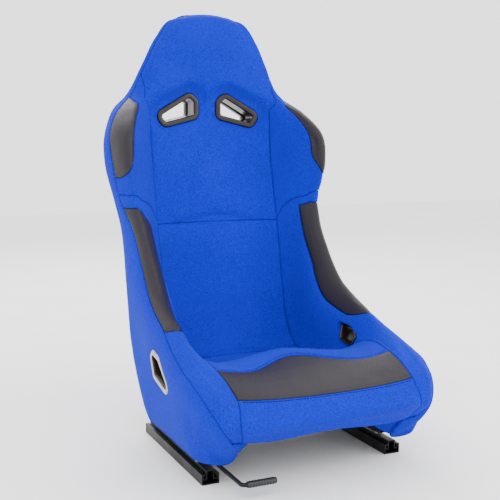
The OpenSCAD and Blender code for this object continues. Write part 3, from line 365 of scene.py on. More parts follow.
def bump(tree, shader, strength, distance, height, **more):
    """Gives a shader a relief of a height in metres."""
    n = node(tree, "ShaderNodeBump", {"Strength": strength, "Distance": distance, "Height": height, **more})
    tree.links.new(n.outputs[0], shader.inputs["Normal"])


def srgb(r, g, b):
    """Linear colour of an sRGB triple from 0 to 255: ((c + 0.055) / 1.055) ^ 2.4."""
    return tuple(((c / 255 + 0.055) / 1.055) ** 2.4 if c > 10 else c / 255 / 12.92 for c in (r, g, b))


def new_material(name, **constants):
    """A material with one Principled shader and its constants; returns the material, its tree, the
    shader and the object's own coordinates."""
    mat = bpy.data.materials.new(name)
    mat.use_nodes = True
    tree = mat.node_tree
    shader = tree.nodes["Principled BSDF"]
    for key, value in constants.items():
        shader.inputs[key.replace("_", " ")].default_value = value
    return mat, tree, shader, node(tree, "ShaderNodeTexCoord").outputs["Object"]


# %% Shared effects
# Knit: columns of slanted loops, 1.8 mm wide and 1.5 mm high
knit, place, out = group("knit", "Height")
xyz = node(knit, "ShaderNodeSeparateXYZ", {0: place})
col = math_node(knit, "MULTIPLY", xyz.outputs["X"], 1 / 0.0018)
row = math_node(knit, "MULTIPLY", xyz.outputs["Y"], 1 / 0.0015)
side = math_node(knit, "ABSOLUTE", math_node(knit, "SUBTRACT", math_node(knit, "FRACT", col), 0.5))
loop = math_node(knit, "SINE", weighted(knit, row, 2 * math.pi, side, 2.6 * math.pi))
rib = math_node(knit, "SINE", math_node(knit, "MULTIPLY", side, 2 * math.pi))
knit.links.new(weighted(knit, loop, 0.3, rib, 0.7), out["Height"])

# Mottle: two sizes of soft noise added up, for yarn that takes the dye unevenly
mottle, place, out = group("mottle", "Value")
mottle.links.new(weighted(mottle, noise(mottle, place, 420.0, 3.0), 0.88, noise(mottle, place, 9.0), 0.12),
                 out["Value"])

# Grain: pebbled leather, from the distance to the edges of small cells
grain, place, out = group("grain", "Height", "Crease")
warp = noise(grain, place, 260.0, output="Color")
bent = node(grain, "ShaderNodeVectorMath", {0: warp, 1: (0.0016,) * 3}, operation="MULTIPLY")
moved = node(grain, "ShaderNodeVectorMath", {0: place, 1: bent.outputs[0]}, operation="ADD")
cells = node(grain, "ShaderNodeTexVoronoi", {"Vector": moved.outputs[0], "Scale": 620.0},
             feature="DISTANCE_TO_EDGE")
pebble = math_node(grain, "MINIMUM", math_node(grain, "MULTIPLY", cells.outputs["Distance"], 4.0), 1.0)
grain.links.new(pebble, out["Height"])
grain.links.new(math_node(grain, "SUBTRACT", 1.0, pebble), out["Crease"])
print("node groups:", [g.name for g in bpy.data.node_groups])


def use(tree, shared, vector):
    """A node that shows a shared group in a material, fed with a vector."""
    n = node(tree, "ShaderNodeGroup")
    n.node_tree = shared
    tree.links.new(vector, n.inputs["Vector"])
    return n


# %% [markdown]
# ### Cloth
# Royal blue knit on thin foam. A picture of cloth would blur close up and repeat over the back, so the
# knit is worked out. It scatters light back towards its edges, which the sheen gives, and it never
# shines. The yarn shows as a fine mottle, and the loops as a small bump that follows the panel's own map
# in metres, so that the rows run along each panel as they are cut.

# %% Blue cloth and thread
blue_cloth, tree, shader, solid = new_material(
    "blue_cloth", Roughness=0.85, Sheen_Weight=0.1, Sheen_Roughness=0.5, Sheen_Tint=(0.1, 0.3, 1.0, 1),
    Specular_IOR_Level=0.08)
loops = use(tree, knit, node(tree, "ShaderNodeUVMap", uv_map="weave").outputs[0]).outputs["Height"]
yarn = use(tree, mottle, solid).outputs["Value"]
blues = ramp(tree, weighted(tree, loops, 0.16, yarn, 1), [
    (0.28, srgb(0, 4, 104)), (0.55, srgb(0, 16, 163)), (0.85, srgb(0, 29, 200))])
tree.links.new(blues, shader.inputs["Base Color"])
bump(tree, shader, 0.35, 0.5 * MM, weighted(tree, loops, 1, yarn, 0.8))

blue_thread, tree, shader, solid = new_material("blue_thread", Roughness=0.8, Specular_IOR_Level=0.05)
twist = node(tree, "ShaderNodeTexWave", {"Vector": solid, "Scale": 900.0, "Distortion": 1.0}).outputs["Fac"]
tree.links.new(ramp(tree, twist, [(0, srgb(0, 5, 44)), (1, srgb(0, 14, 84))]), shader.inputs["Base Color"])
finishes = {"blue_cloth": blue_cloth, "blue_thread": blue_thread}

# %% [markdown]
# ### Vinyl
# The patches are dark grey leathercloth: a pebbled grain, a satin gloss that breaks up over the pebbles,
# and slightly darker creases. Plain noise would look like orange peel, so the pebbles are small cells.

# %% Grey vinyl
finishes["grey_vinyl"], tree, shader, solid = new_material(
    "grey_vinyl", Specular_IOR_Level=0.22, Coat_Weight=0.03, Coat_Roughness=0.35)
pebbles = use(tree, grain, solid).outputs
tone = weighted(tree, use(tree, mottle, solid).outputs["Value"], 0.7, pebbles["Height"], 0.3)
tree.links.new(ramp(tree, tone, [(0.2, srgb(20, 16, 21)), (0.6, srgb(32, 28, 34)), (0.95, srgb(42, 37, 45))]),
               shader.inputs["Base Color"])
tree.links.new(map_range(tree, pebbles["Crease"], (0, 1), (0.4, 0.62)), shader.inputs["Roughness"])
bump(tree, shader, 0.3, 0.3 * MM, pebbles["Height"])

# %% [markdown]
# ### Plastic, glass fibre and steel
# Moulded plastic has a fine spark-eroded texture. The shell's inner side shows pressed glass mat. The
# rails and frame are powder coated, with the orange peel of such a coat and bare metal where edges have
# rubbed. Small steel parts are zinc plated, with a faint yellow cast in blotches.

# %% Plastic, glass fibre and zinc
def hard_material(name, low, high, rough, scale=700.0, bump_mm=0.08, spread=260.0, **more):
    """A hard finish: colour and roughness vary with soft noise, and a fine noise gives the bump."""
    mat, tree, shader, solid = new_material(name, **more)
    tone = noise(tree, solid, spread, 4.0)
    tree.links.new(ramp(tree, tone, [(0.3, srgb(*low)), (0.7, srgb(*high))]), shader.inputs["Base Color"])
    tree.links.new(map_range(tree, tone, (0.3, 0.7), rough), shader.inputs["Roughness"])
    bump(tree, shader, 0.4, bump_mm * MM, noise(tree, solid, scale))
    return mat


for name, low, high, rough, more in (
        ("bezel_plastic", (20, 13, 11), (34, 25, 22), (0.28, 0.4),
         dict(spread=40.0, Coat_Weight=0.06, Coat_Roughness=0.15, Specular_IOR_Level=0.3)),
        # The pale finish below is a painted highlight, for the light that the outer lap frames' rounded edges
        # reflect
        ("satin_trim", (158, 142, 136), (182, 166, 160), (0.32, 0.45), dict(spread=60.0)),
        ("grip_plastic", (9, 9, 10), (18, 18, 19), (0.4, 0.55), {}),
        ("cage_plastic", (12, 12, 13), (20, 20, 22), (0.45, 0.6), {}),
        ("moulded_shell", (12, 12, 13), (32, 32, 34), (0.35, 0.6), dict(scale=300.0, bump_mm=0.3)),
        ("zinc_steel", (108, 108, 112), (150, 148, 142), (0.24, 0.42),
         dict(Metallic=1.0, spread=60.0, scale=900.0, bump_mm=0.04))):
    finishes[name] = hard_material(name, low, high, rough, **more)

# %% Powder-coated steel
# Bare metal shows where the bevelled normal leaves the true one, which is along sharp edges
finishes["black_steel"], tree, shader, solid = new_material("black_steel", Specular_IOR_Level=0.22)
patch = noise(tree, solid, 45.0, 5.0)
edge = node(tree, "ShaderNodeBevel", {"Radius": 1.2 * MM}, samples=4).outputs[0]
turn = node(tree, "ShaderNodeVectorMath", {0: edge, 1: node(tree, "ShaderNodeNewGeometry").outputs["Normal"]},
            operation="DOT_PRODUCT").outputs["Value"]
worn = math_node(tree, "MULTIPLY", map_range(tree, turn, (0.985, 0.8), (0, 1)),
                 map_range(tree, patch, (0.48, 0.62), (0, 1)))
coat = ramp(tree, patch, [(0.3, srgb(9, 9, 10)), (0.75, srgb(21, 21, 23))])
colour = node(tree, "ShaderNodeMix", {"Factor": worn, 6: coat, 7: (*srgb(84, 83, 82), 1)}, data_type="RGBA")
tree.links.new(colour.outputs[2], shader.inputs["Base Color"])
tree.links.new(worn, shader.inputs["Metallic"])
tree.links.new(map_range(tree, patch, (0.3, 0.7), (0.3, 0.5)), shader.inputs["Roughness"])
bump(tree, shader, 0.25, 0.2 * MM, noise(tree, solid, 520.0), Normal=edge)
print("finishes:", sorted(finishes))

# %% [markdown]
# ### Rails, frame and lever
# A steel frame is welded from square tube, and its rails are rolled from sheet. Modelled anew they would
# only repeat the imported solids, whose edges and holes are exact already. So they keep their form here,
# and each one only takes its finish.

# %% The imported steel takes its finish
steel_nodes = {
    "black_steel": ["base_frame", "lever_bracket", "lever_rod", "latch_plate", *pair("floor_rail"),
                    *pair("slider_rail")],
    "zinc_steel": ["rail_spacers", "rail_bolts", "pan_bolts", "lever_rivets", "lever_spring",
                   *pair("rail_stops"), *pair("balls")],
    "cage_plastic": pair("ball_cage"),
    "grip_plastic": ["lever_grip"],
}
for finish_name, names in steel_nodes.items():
    for name in names:
        for place in nodes[name].material_slots:
            place.material = finishes[finish_name]
print("steel and plastic nodes finished:", sum(map(len, steel_nodes.values())))

# %% [markdown]
# ## Upholstery
# A region of the seat is a grid of places, split into bands along and across. The lines between bands
# are where seams may run, so each panel is a block of the grid and its edge is exactly its seam. The
# rows lie closer together at the seams, where the foam rolls over. A panel's outer face follows the
# skin, stands a little proud in its middle, and turns down steeply into its seams, as foam does under
# cloth that is sewn tight.

# %% Grids of places
def rows_of(counts):
    """Band number and share of the way through it for each row. The rows are drawn together at the
    bands' ends by 0.45 u + 0.275 (1 - cos(pi u))."""
    k = np.repeat(np.arange(len(counts)), counts)
    u = np.concatenate([np.arange(n) / n for n in counts])
    k, u = np.append(k, len(counts) - 1), np.append(u, 1.0)
    return k, 0.45 * u + 0.275 * (1 - np.cos(np.pi * u))


def places(s_marks, s_counts, t_marks, t_counts):
    """Grids s and t whose bands end at the marks: s_marks are functions of t, t_marks of s. The first
    s, before its marks are known, is read half way out to the first t mark, at s = 6."""
    ks, ws = rows_of(s_counts)
    kt, wt = rows_of(t_counts)
    probe = 0.5 * t_marks[0](np.array(6.0))
    middle = np.array([float(f(probe)) for f in s_marks])
    s_ref = middle[ks] * (1 - ws) + middle[ks + 1] * ws
    marks = np.stack([f(s_ref) for f in t_marks])
    t = (marks[kt] * (1 - wt)[:, None] + marks[kt + 1] * wt[:, None]).T
    marks = np.stack([f(t) for f in s_marks])
    each = np.arange(len(ks))
    s = marks[ks, each] * (1 - ws)[:, None] + marks[ks + 1, each] * ws[:, None]
    return s, t, ks[:-1], kt[:-1]


print("rows of a band of four:", np.round(rows_of([4])[1], 3))

# %% [markdown]
# ### The face of a panel
# Where two pieces of cloth are sewn together, the seam is pulled down into the foam. Beside it lie the
# folded allowance, as a low bead, and fine puckers. Modelling these by hand on every seam would take
# long and never match, so one formula of the distance to the nearest seam makes them all.

# %% Height over the skin
def nearest(points, line):
    """Distance from each point to the nearest point of a line, worked out a few thousand at a time."""
    flat, out = points.reshape(-1, 3), []
    own = (line ** 2).sum(1)
    for start in range(0, len(flat), 4000):
        p = flat[start:start + 4000]
        out.append((p ** 2).sum(1) + (own - 2 * p @ line.T).min(1))
    return np.sqrt(np.maximum(np.concatenate(out), 0)).reshape(points.shape[:-1])


def ripple(p):
    """Gentle unevenness of stretched cloth: four slanted waves 50 to 110 mm long, from -1 to 1."""
    x, y, z = p[..., 0], p[..., 1], p[..., 2]
    return (np.sin(92 * x + 31 * z + 1.3) * np.sin(57 * z - 40 * y) + np.sin(71 * y - 66 * x + 88 * z)
            * np.sin(35 * x + 60 * y + 0.7)) / 2


def roll(d, depth, width):
    """How far a seam draws the face in at distance d: a quarter round, depth at 0 and none at width."""
    x = 1 - np.clip(d / width, 0, 1)
    return depth * (1 - np.sqrt(1 - x * x))


PAD = dict(depth=3.4 * MM, width=6 * MM, crown=2.0 * MM, reach=28 * MM, uneven=0.3 * MM, bead=0.5 * MM)
COVER = dict(depth=1.8 * MM, width=4 * MM, crown=0.3 * MM, reach=40 * MM, uneven=0.3 * MM, bead=0.3 * MM)
fold_at, fold_w, stitch_at, stitch_w = 3 * MM, 1.5 * MM, 5.6 * MM, 1.2 * MM
pucker_h, pucker_reach, pucker_waves = 0.18 * MM, 8 * MM, np.array([430.0, 510.0, 610.0])


def proud(points, d, way):
    """Height of a panel's face over the skin, at distance d from its seams: the crown rises by
    1 - exp(-d / reach), the seam's roll is taken off, and waves are added. A low bead beside the seam
    is the folded allowance under the cloth, and past it the topstitching draws the cloth in."""
    rise = way["crown"] * (1 - np.exp(-d / way["reach"]))
    fold = way["bead"] * (np.exp(-((d - fold_at) / fold_w) ** 2) - np.exp(-((d - stitch_at) / stitch_w) ** 2))
    pucker = pucker_h * np.exp(-d / pucker_reach) * np.sin(points @ pucker_waves)
    return (rise - roll(d, way["depth"], way["width"]) + fold + pucker * (d > 0.5 * MM)
            + way["uneven"] * ripple(points))


print("a pad's crown far from its seams, mm:", round(PAD["crown"] / MM, 1))

# %% [markdown]
# ### Settling
# Foam under tight cloth swells between the seams, most where they are far apart. A painted bulge would
# look the same on every panel. A short cloth simulation finds the form by itself: a coarse sheet is
# pinned along its seams and blown up by an even pressure, and its rise is spread over the fine grid.

# %% Settled cloth
puff, settle_frames, coarse = 4.5 * MM, 20, 4
settle = dict(vertex_group_mass="seams", quality=6, mass=0.3, tension_stiffness=40, compression_stiffness=30,
              shear_stiffness=12, bending_stiffness=2.0, air_damping=4, use_pressure=True,
              uniform_pressure_force=4, shrink_min=0.004)


def inflate(points, normals, pinned):
    """How far the cloth of a region rises along its normals, with a soft limit: puff * tanh(rise / puff).
    The sheet keeps every fourth row and column and those that lie along a seam."""
    rows, cols = (np.unique(np.concatenate([
        np.arange(0, size, coarse), [size - 1], np.flatnonzero(pinned.mean(1 - axis) > 0.25)]))
        for axis, size in enumerate(pinned.shape))
    pick = np.ix_(rows, cols)
    rest, up, held = points[pick].reshape(-1, 3), normals[pick].reshape(-1, 3), pinned[pick].ravel()
    cloth = add_mesh("settling", rest, grid_quads(len(rows), len(cols))[:, ::-1])
    cloth.vertex_groups.new(name="seams").add(np.flatnonzero(held).tolist(), 1.0, "REPLACE")
    bpy.context.view_layer.objects.active = cloth
    way = cloth.modifiers.new("settle", "CLOTH")
    for key, value in settle.items():
        setattr(way.settings, key, value)
    way.settings.effector_weights.gravity = 0
    way.collision_settings.use_collision = False
    way.point_cache.frame_start, way.point_cache.frame_end = 1, settle_frames
    for moment in range(1, settle_frames + 1):
        bpy.context.scene.frame_set(moment)
    settled = cloth.evaluated_get(bpy.context.evaluated_depsgraph_get()).data
    moved = np.empty(rest.size)
    settled.vertices.foreach_get("co", moved)
    rise = ((moved.reshape(-1, 3) - rest) * up).sum(-1).reshape(len(rows), len(cols))
    bpy.data.objects.remove(cloth)
    bpy.context.scene.frame_set(1)
    rise = np.nan_to_num(puff * np.tanh(rise / puff))
    spread = [np.stack([np.interp(np.arange(size), kept, one) for one in np.eye(len(kept))], -1)
              for size, kept in zip(pinned.shape, (rows, cols))]
    return spread[0] @ rise @ spread[1].T


print("the cloth settles over", settle_frames, "frames")

# %% [markdown]
# ### Outlines of the belt slots
# Each belt slot is a corner-rounded outline, drawn square to the belt's way. The cloth over the back is
# pressed down under the frames of the shoulder slots. Pushing the foam in by a formula keeps it soft
# beside the frame, where a plain cut would leave it standing proud.

# %% Rounded outlines
bezel_h, sleeve_t, slot_r = 5, 2, 6
slot_x, slot_z, slot_turn, slot_w = 76, 708, -0.09, 13
slot_front = slot_y - bezel_h - 4.5
lap_x, lap_y, lap_z, lap_in_x, lap_in_z, lap_meet_x = 255, -32, 190, 181, 218, 222
lap_run, lap_lean = -0.23, 0.42
lap_rise = (lap_z - lap_in_z) / (lap_x - lap_in_x)
slot_outline = [[-30, 28], [-42, 18], [-42, -11], [31, -29], [42, -14]]
lap_outline = [[36, 26], [17, -12], [-52, -27], [-54, -18], [-4, 19]]
lap_in_outline = [[34, 24], [17, -12], [-28, -18], [-30, 2], [-6, 20]]


def shrink(outline, by):
    """A convex outline with each side moved in by a distance; sides that vanish are left out."""
    pts = np.array(outline, float)
    area = np.sum(pts[:, 0] * np.roll(pts[:, 1], -1) - pts[:, 1] * np.roll(pts[:, 0], -1))
    pts = pts if area > 0 else pts[::-1]
    kept = [np.array(p) for p in ((-200, -200), (200, -200), (200, 200), (-200, 200))]
    for a, b in zip(pts, np.roll(pts, -1, axis=0)):
        normal = np.array([a[1] - b[1], b[0] - a[0]]) / np.linalg.norm(b - a)
        side = [float((p - a) @ normal) - by for p in kept]
        clipped = []
        for p, q, x, y in zip(kept, kept[1:] + kept[:1], side, side[1:] + side[:1]):
            if x >= 0:
                clipped.append(p)
            if x * y < 0:
                clipped.append(p + (q - p) * x / (x - y))
        kept = clipped
    return np.array(kept)


def rounded(outline, per_corner=10, per_side=6):
    """Points and outward unit normals of an outline whose corners are rounded, counterclockwise."""
    core = shrink(outline, slot_r)
    points, normals = [], []
    count = len(core)
    for k in range(count):
        before, here, after = core[k - 1], core[k], core[(k + 1) % count]
        a = math.atan2(-(here - before)[0], (here - before)[1])
        b = math.atan2(-(after - here)[0], (after - here)[1])
        b += 2 * math.pi if b < a else 0
        for angle in np.linspace(a, b, per_corner):
            n = np.array([math.cos(angle), math.sin(angle)])
            points.append(here + slot_r * n)
            normals.append(n)
        for f in np.linspace(0, 1, per_side + 2)[1:-1]:
            points.append(here + (after - here) * f + slot_r * n)
            normals.append(n)
    return np.array(points), np.array(normals)


print("corners of the lap slot's core:", len(shrink(lap_outline, slot_r)))

# %% Cloth pressed in under the frames
# Millimetres behind the flange, forward again at its edge, the dip's width, the most that cloth may be
# pushed out, and the foam left under it
dive, lift, press_w, push_out, left_over = 7, 3.6, 28, 8, 1.2


def press(points, depth):
    """How far a shoulder slot's frame draws the cloth back, as vectors: the cloth dives behind the
    flange, meets its edge just below the rim, and comes back to the skin over press_w, along the smooth
    step b * b * (3 - 2 * b)."""
    line, normals = rounded(slot_outline)
    x, y, z = np.abs(points[..., 0]) / MM - slot_x, points[..., 1] / MM, points[..., 2] / MM - slot_z
    away = np.stack([x, z], -1)[..., None, :] - line
    near = (away ** 2).sum(-1).argmin(-1)
    off = (np.take_along_axis(away, near[..., None, None], -2)[..., 0, :] * normals[near]).sum(-1)
    goal = slot_front + slot_turn * x + dive - lift * np.clip((off - slot_w + 1.5) / 2, 0, 1)
    blend = 1 - np.clip((off - slot_w - 1) / press_w, 0, 1)
    move = np.clip(goal - y, -push_out, depth / MM - left_over) * blend ** 2 * (3 - 2 * blend)
    return np.stack([0 * move, move * MM, 0 * move], -1)


print("front of the shoulder frames, mm:", slot_front)

# %% [markdown]
# ### Sewing
# A region is one grid, and its layout says which panel each band belongs to. On the real seat the panels
# are cut flat and sewn into one cover. Here each panel takes its block of the shared grid, so that
# neighbours meet exactly along their seam and no gap can open.

# %% Sewing a region
def sew(region, grid, layout, way, inner, seamless=(), frames=False):
    """Makes the panels of a region. layout names the panel of each band along and across.
    inner gives the depth of the inner face at places s and t. Places s in seamless get no seam.
    With frames, the cloth is pressed down round the shoulder slots."""
    s, t, ks, kt = grid
    n, m = s.shape
    names = sorted({name for row in layout for name in row})
    cell = np.array([[names.index(name) for name in row] for row in layout])[ks[:, None], kt[None, :]]
    padded = np.full((n + 1, m + 1), -1)
    padded[1:-1, 1:-1] = cell
    around = np.stack([padded[:-1, :-1], padded[1:, :-1], padded[:-1, 1:], padded[1:, 1:]])
    seam = (around != around[0]).any(0)
    for value in seamless:
        seam &= np.abs(s - value) > 1e-6
    points, normals = skin(s, t), outward(s, t)
    d = nearest(points, points[seam])
    face = proud(points, d, way)
    if way is PAD:
        blown = inflate(points, normals, seam)
        print(region, "rose by", np.round(blown.max() / MM, 2), "mm")
        face += blown
    outer = points + normals * face[..., None]
    under = points - normals * inner(s, t)[..., None]
    if frames:
        outer = outer + press(outer, inner(s, t))
    uv = np.stack([lengths(points, 1), lengths(points, 0)], -1)
    quads = grid_quads(n, m)
    return {name: slab(name, outer, under, quads[cell.ravel() == number][:, ::-1], uv)
            for number, name in enumerate(names)}


pad_mm, edge_mm, cover_mm = 25, 6, 2.5


def pad_depth(s, t):
    """Depth of a pad, full in the middle and thin over the crest: straight lines between its values at
    the guide curves, each with a share that changes along the seat."""
    a = np.abs(t)
    share = np.interp(s, [LIP, ROLL, CREST, CREASE, LUMBAR, NECK, BROW, RIDGE],
                      [0.3, 0.72, 1, 0.8, 1, 0.9, 0.6, 0.4])
    edge = edge_mm * np.interp(s, [LIP, ROLL, CREST, NECK, RIDGE], [0.5, 0.9, 1, 1, 0.9])
    mid = pad_mm * share
    marks = [0, SEAM, LEDGE, TOP, RIM, RIM + 0.5]
    values = np.stack([mid, mid * 0.9, edge * 1.25, edge, edge * 0.8, 0 * a + cover_mm])
    k = np.clip(np.searchsorted(marks, a, side="right") - 1, 0, 4)
    low = np.take_along_axis(values, k[None], 0)[0]
    high = np.take_along_axis(values, k[None] + 1, 0)[0]
    f = np.clip((a - np.take(marks, k)) / np.diff(marks)[k], 0, 1)
    return (low + (high - low) * f) * MM


print("depth of a pad at the hips, mm:", np.round(pad_depth(np.array([9.0]), np.array([0.0])) / MM, 1))

# %% [markdown]
# ### Where the seams run
# The grey panel of the cushion has a straight front edge and a wavy rear edge. The seam over each
# bolster's waist drops from the rim to the lower back. Each patch has rounded inner corners, as vinyl
# sewn round a sharp corner would pucker. Above the shoulders the seam of the back leaves its panel and
# runs out to the rim, so the back and the head are one piece of cloth. Each line is a short formula,
# which a grid can follow exactly, and a drawn curve would have to be cut into the mesh.

# %% Seam lines
grey_front, patch_foot, patch_top = 2.25, 5.62, 11.78
wing_foot, wing_top, wing_end = 12.62, 15.8, 16.6


def wave(t):
    """Rear edge of the grey cushion panel: 3.95 + 0.05|t| + a rise of 0.6 in the middle."""
    return 3.95 + 0.05 * np.abs(t) + 0.3 * (1 + np.cos(2 * np.pi * t / 1.5)) * (np.abs(t) < 0.75)


def waist(t):
    """Seam between bolster and wing: it leaves the lower back at 11.05 and flattens out to 12.2."""
    return 11.05 + 1.17 * (1 - np.exp(-np.maximum(np.abs(t) - SEAM, 0) / 0.62))


def wing_seam(s):
    """Half width of the back's panel: 1 up to the shoulders, then out to the rim by s = 16.65."""
    return SEAM + (RIM - SEAM) * np.clip((s - SLOPE) / 1.65, 0, 1) ** 1.6


def blunt(s, foot, top, first, last, sharp):
    """How far a patch's inner edge swings out at its two rounded ends, as powers of the way in."""
    return (first * np.clip(1 - (s - foot) / sharp, 0, 1) ** 2.5
            + last * np.clip(1 - (top - s) / sharp, 0, 1) ** 2.1)


def bolster_patch(s):
    """Inner edge of the bolster's patch: on the ledge, a little further in near the waist."""
    further = 0.2 * np.sin(np.pi / 2 * np.clip((s - 8.8) / 1.7, 0, 1)) ** 2
    return LEDGE - 0.03 - further + blunt(s, patch_foot, patch_top, 0.95, 1.6, 0.7)


def bolster_patch_foot(t):
    """Lower end of the bolster's patch, which drops a little from the rim to its inner corner."""
    return patch_foot + 0.18 * np.clip(np.abs(t) - TOP, 0, 1) ** 2


def rim(s):
    """Outer edge of the padded side: 4, and a third of the way down the wall beside the wing's patch."""
    return RIM + 0.35 * np.sin(np.pi * np.clip((s - 12.2) / 4.4, 0, 1)) ** 2


def bolster_patch_top(t):
    """Upper end of the bolster's patch, kept below the seam over the waist."""
    return np.minimum(patch_top, waist(t) - 0.3)


def wing_patch(s, middle):
    """Inner edge of the wing's patch, with a rounded corner at each end."""
    return np.minimum(middle + blunt(s, wing_foot, wing_top, 1.2, 1.6, 0.75), RIM - 0.05)


print("rear edge of the grey panel, middle and side:", wave(0.0), wave(1.0))

# %% [markdown]
# ### The panels
# The cushion is three panels, the lower back one and the upper back with the head another. Each side has
# a bolster and a wing with their patches, and an outer side. The numbers beside the marks are rows of
# the grid: close enough for the folds at the seams, and no closer.

# %% Centre panels
across = [fixed(-SEAM), fixed(SEAM)]
grid = places([fixed(LIP), fixed(grey_front), wave, fixed(CREASE)], [46, 44, 90], across, [130])
panels = sew("cushion", grid, [["cushion_front"], ["cushion_grey"], ["cushion_rear"]], PAD, pad_depth)
panels.update(sew("lower_back", places([fixed(CREASE), fixed(LUMBAR)], [100], across, [110]),
                  [["lower_back"]], PAD, pad_depth))
panels.update(sew("upper_back", places([fixed(LUMBAR), fixed(RIDGE)], [210],
                                       [lambda s: -wing_seam(s), wing_seam], [130]),
                  [["upper_back"]], PAD, pad_depth, seamless=[RIDGE], frames=True))
print("centre panels:", sorted(panels))

# %% Bolsters, wings and side covers
def one_side(sign, marks, counts):
    """Marks and counts across one half of the seat, both turned round for the right half."""
    marks = [lambda s, f=f: sign * f(s) for f in marks]
    return (marks, counts) if sign > 0 else (marks[::-1], counts[::-1])


cover_t, glue, shell_t = cover_mm * MM, 0.6 * MM, 4 * MM
for hand, sign in HANDS:
    inmost = LEDGE + (0.08 if sign > 0 else 0.45)

    def wing_inner(s):
        """Inner edge of the wing's patch, at least a fifth of the way out from the back's panel."""
        return np.maximum(wing_patch(s, inmost), wing_seam(s) + 0.2 * (RIM - wing_seam(s)))

    for part, s_marks, s_counts, t_marks, t_counts in (
            ("bolster", [fixed(LIP), bolster_patch_foot, bolster_patch_top, waist], [140, 170, 16],
             [fixed(SEAM), bolster_patch, fixed(RIM)], [26, 30]),
            ("wing", [waist, fixed(wing_foot), fixed(wing_top), fixed(wing_end)], [20, 96, 26],
             [wing_seam, wing_inner, rim], [34, 28])):
        # The patch is the outer one of two bands, in the middle of three bands along the seat
        name = f"{hand}_{part}"
        layout = [[name, name], [name, name + "_patch"][::sign], [name, name]]
        grid = places(s_marks, s_counts, *one_side(sign, t_marks, t_counts))
        panels.update(sew(name, grid, layout, PAD, pad_depth))
    name = f"{hand}_side"
    grid = places([fixed(LIP), fixed(RIDGE)], [420], *one_side(sign, [rim, fixed(BASE)], [60]))
    panels.update(sew(name, grid, [[name]], COVER, fixed(cover_t), seamless=[RIDGE]))
print("panels:", len(panels))

# %% [markdown]
# ### The rear cover and the shells
# The foam is glued into a moulded bucket of glass fibre, and a second moulding closes the back. Both
# show at the slots, at the skirt's edge and from below. They are layers of the same skin, between two
# depths, so they follow the cloth at a set distance without any fitting.

# %% Rear cover and the two shells
def rear_places(turns, count):
    """Places over the rear, from one edge of the back round to the other."""
    return mesh_of(np.linspace(HIP, RIDGE, count), turns)


def shell(name, s, t, top, thick):
    """A moulded shell between two depths below the skin, over grids of places."""
    points, normals = skin(s, t), outward(s, t)
    uv = np.stack([lengths(points, 1), lengths(points, 0)], -1)
    return slab(name, points - normals * top(s, t)[..., None],
                points - normals * (top(s, t) + thick)[..., None], grid_quads(*s.shape)[:, ::-1], uv)


rear_t = np.concatenate([np.linspace(BASE + 0.015, REAR, 60), -np.linspace(REAR, BASE + 0.015, 60)[1:]])
s, t = rear_places(rear_t, 220)
one_band = [np.zeros(size - 1, int) for size in s.shape]
panels.update(sew("rear_cover", (s, t, *one_band), [["rear_cloth"]], COVER, fixed(cover_t), seamless=[RIDGE]))
across_t = np.concatenate([np.linspace(-BASE, -RIM, 22), np.linspace(-RIM, RIM, 110)[1:-1],
                           np.linspace(RIM, BASE, 22)])
inner_shell = shell("inner_shell", *mesh_of(np.linspace(LIP, RIDGE, 260), across_t),
                    lambda s, t: pad_depth(s, t) + glue, shell_t)
outer_shell = shell("rear_moulding", *rear_places(rear_t[::2], 120), fixed(cover_t + glue / 2), shell_t)
print("shells:", len(inner_shell.data.polygons), len(outer_shell.data.polygons))

# %% [markdown]
# ### Hems
# At the skirt's lower edge the cloth turns round and is glued to the shell's inner side. At the two front
# corners it is drawn in and up to the frame. All of this could be left out, as it is mostly in shadow,
# but from low down a bare edge would look like cut paper. Thin strips of the same skin are enough.

# %% Hems, linings and turned-in corners
lining_from, lining_deep = 0.12, cover_t + glue + shell_t + 0.3 * MM
hem_w, corner_reach, corner_t = 7 * MM, 34 * MM, np.array([0, 0, 1.4 * MM])
for hand, sign in HANDS:
    for part, along, across, deep, thick in (
            ("lining", np.linspace(lining_from, CREASE, 120), np.linspace(WALL + 0.1, BASE - 0.015, 16),
             lining_deep, 1.1 * MM),
            ("hem", np.linspace(LIP, CREASE + 0.9, 160), np.linspace(BASE - 0.03, BASE + 0.012, 5),
             1.2 * MM, hem_w)):
        name = f"{hand}_{part}"
        panels[name] = shell(name, *mesh_of(along, np.sort(sign * across)), fixed(deep), thick)

    # A corner's cloth: u runs from the skirt's edge, at 0, inwards and up to 1
    s, u = mesh_of(np.linspace(lining_from, 4, 70), np.linspace(0, 1, 10))
    t = sign * (BASE - 0.02) + 0 * s
    reach = corner_reach * (1 - 0.5 * np.clip((s - 1.5) / 2.5, 0, 1))
    turned = skin(s, t) - outward(s, t) * 6 * MM
    turned += np.stack([-sign * u * reach, 0.25 * u * reach, 0.55 * u ** 1.3 * reach], -1)
    turned[..., 2] += 1.2 * MM * np.sin(9 * s + 2 * u) * u
    panels[f"{hand}_tuck"] = slab(f"{hand}_tuck", turned, turned + corner_t, grid_quads(*s.shape)[:, ::-sign],
                                  np.stack([s * 0.045, u * reach], -1))
along, across = np.linspace(-0.03, 0.03, 5), np.linspace(-BASE + 0.02, BASE - 0.02, 240)
panels["front_hem"] = shell("front_hem", *mesh_of(along, across), fixed(1.5 * MM), hem_w + 1 * MM)
print("panels with hems and linings:", len(panels))

# %% [markdown]
# ## Belt slots
# Two slots for the shoulder belts go right through the back, and one for the lap belt through each
# bolster. They have to be real holes, because the room behind shows through them. Each slot is a rounded
# outline that is swept along the belt's way. The same outline, grown a little, cuts the cloth, foam and
# shell, and a plastic frame lines the cut.

# %% Sweeps along the belt's way
def harness_place(px, py, depth, turn=slot_turn):
    """Outline steps and a depth to a point: the frame turns a little to follow the dished back."""
    return np.stack([px + slot_x, depth + turn * px, py + slot_z], -1)


def rear_place(px, py, depth):
    """The same way behind, where the frame stands square to it."""
    return harness_place(px, py, depth, 0)


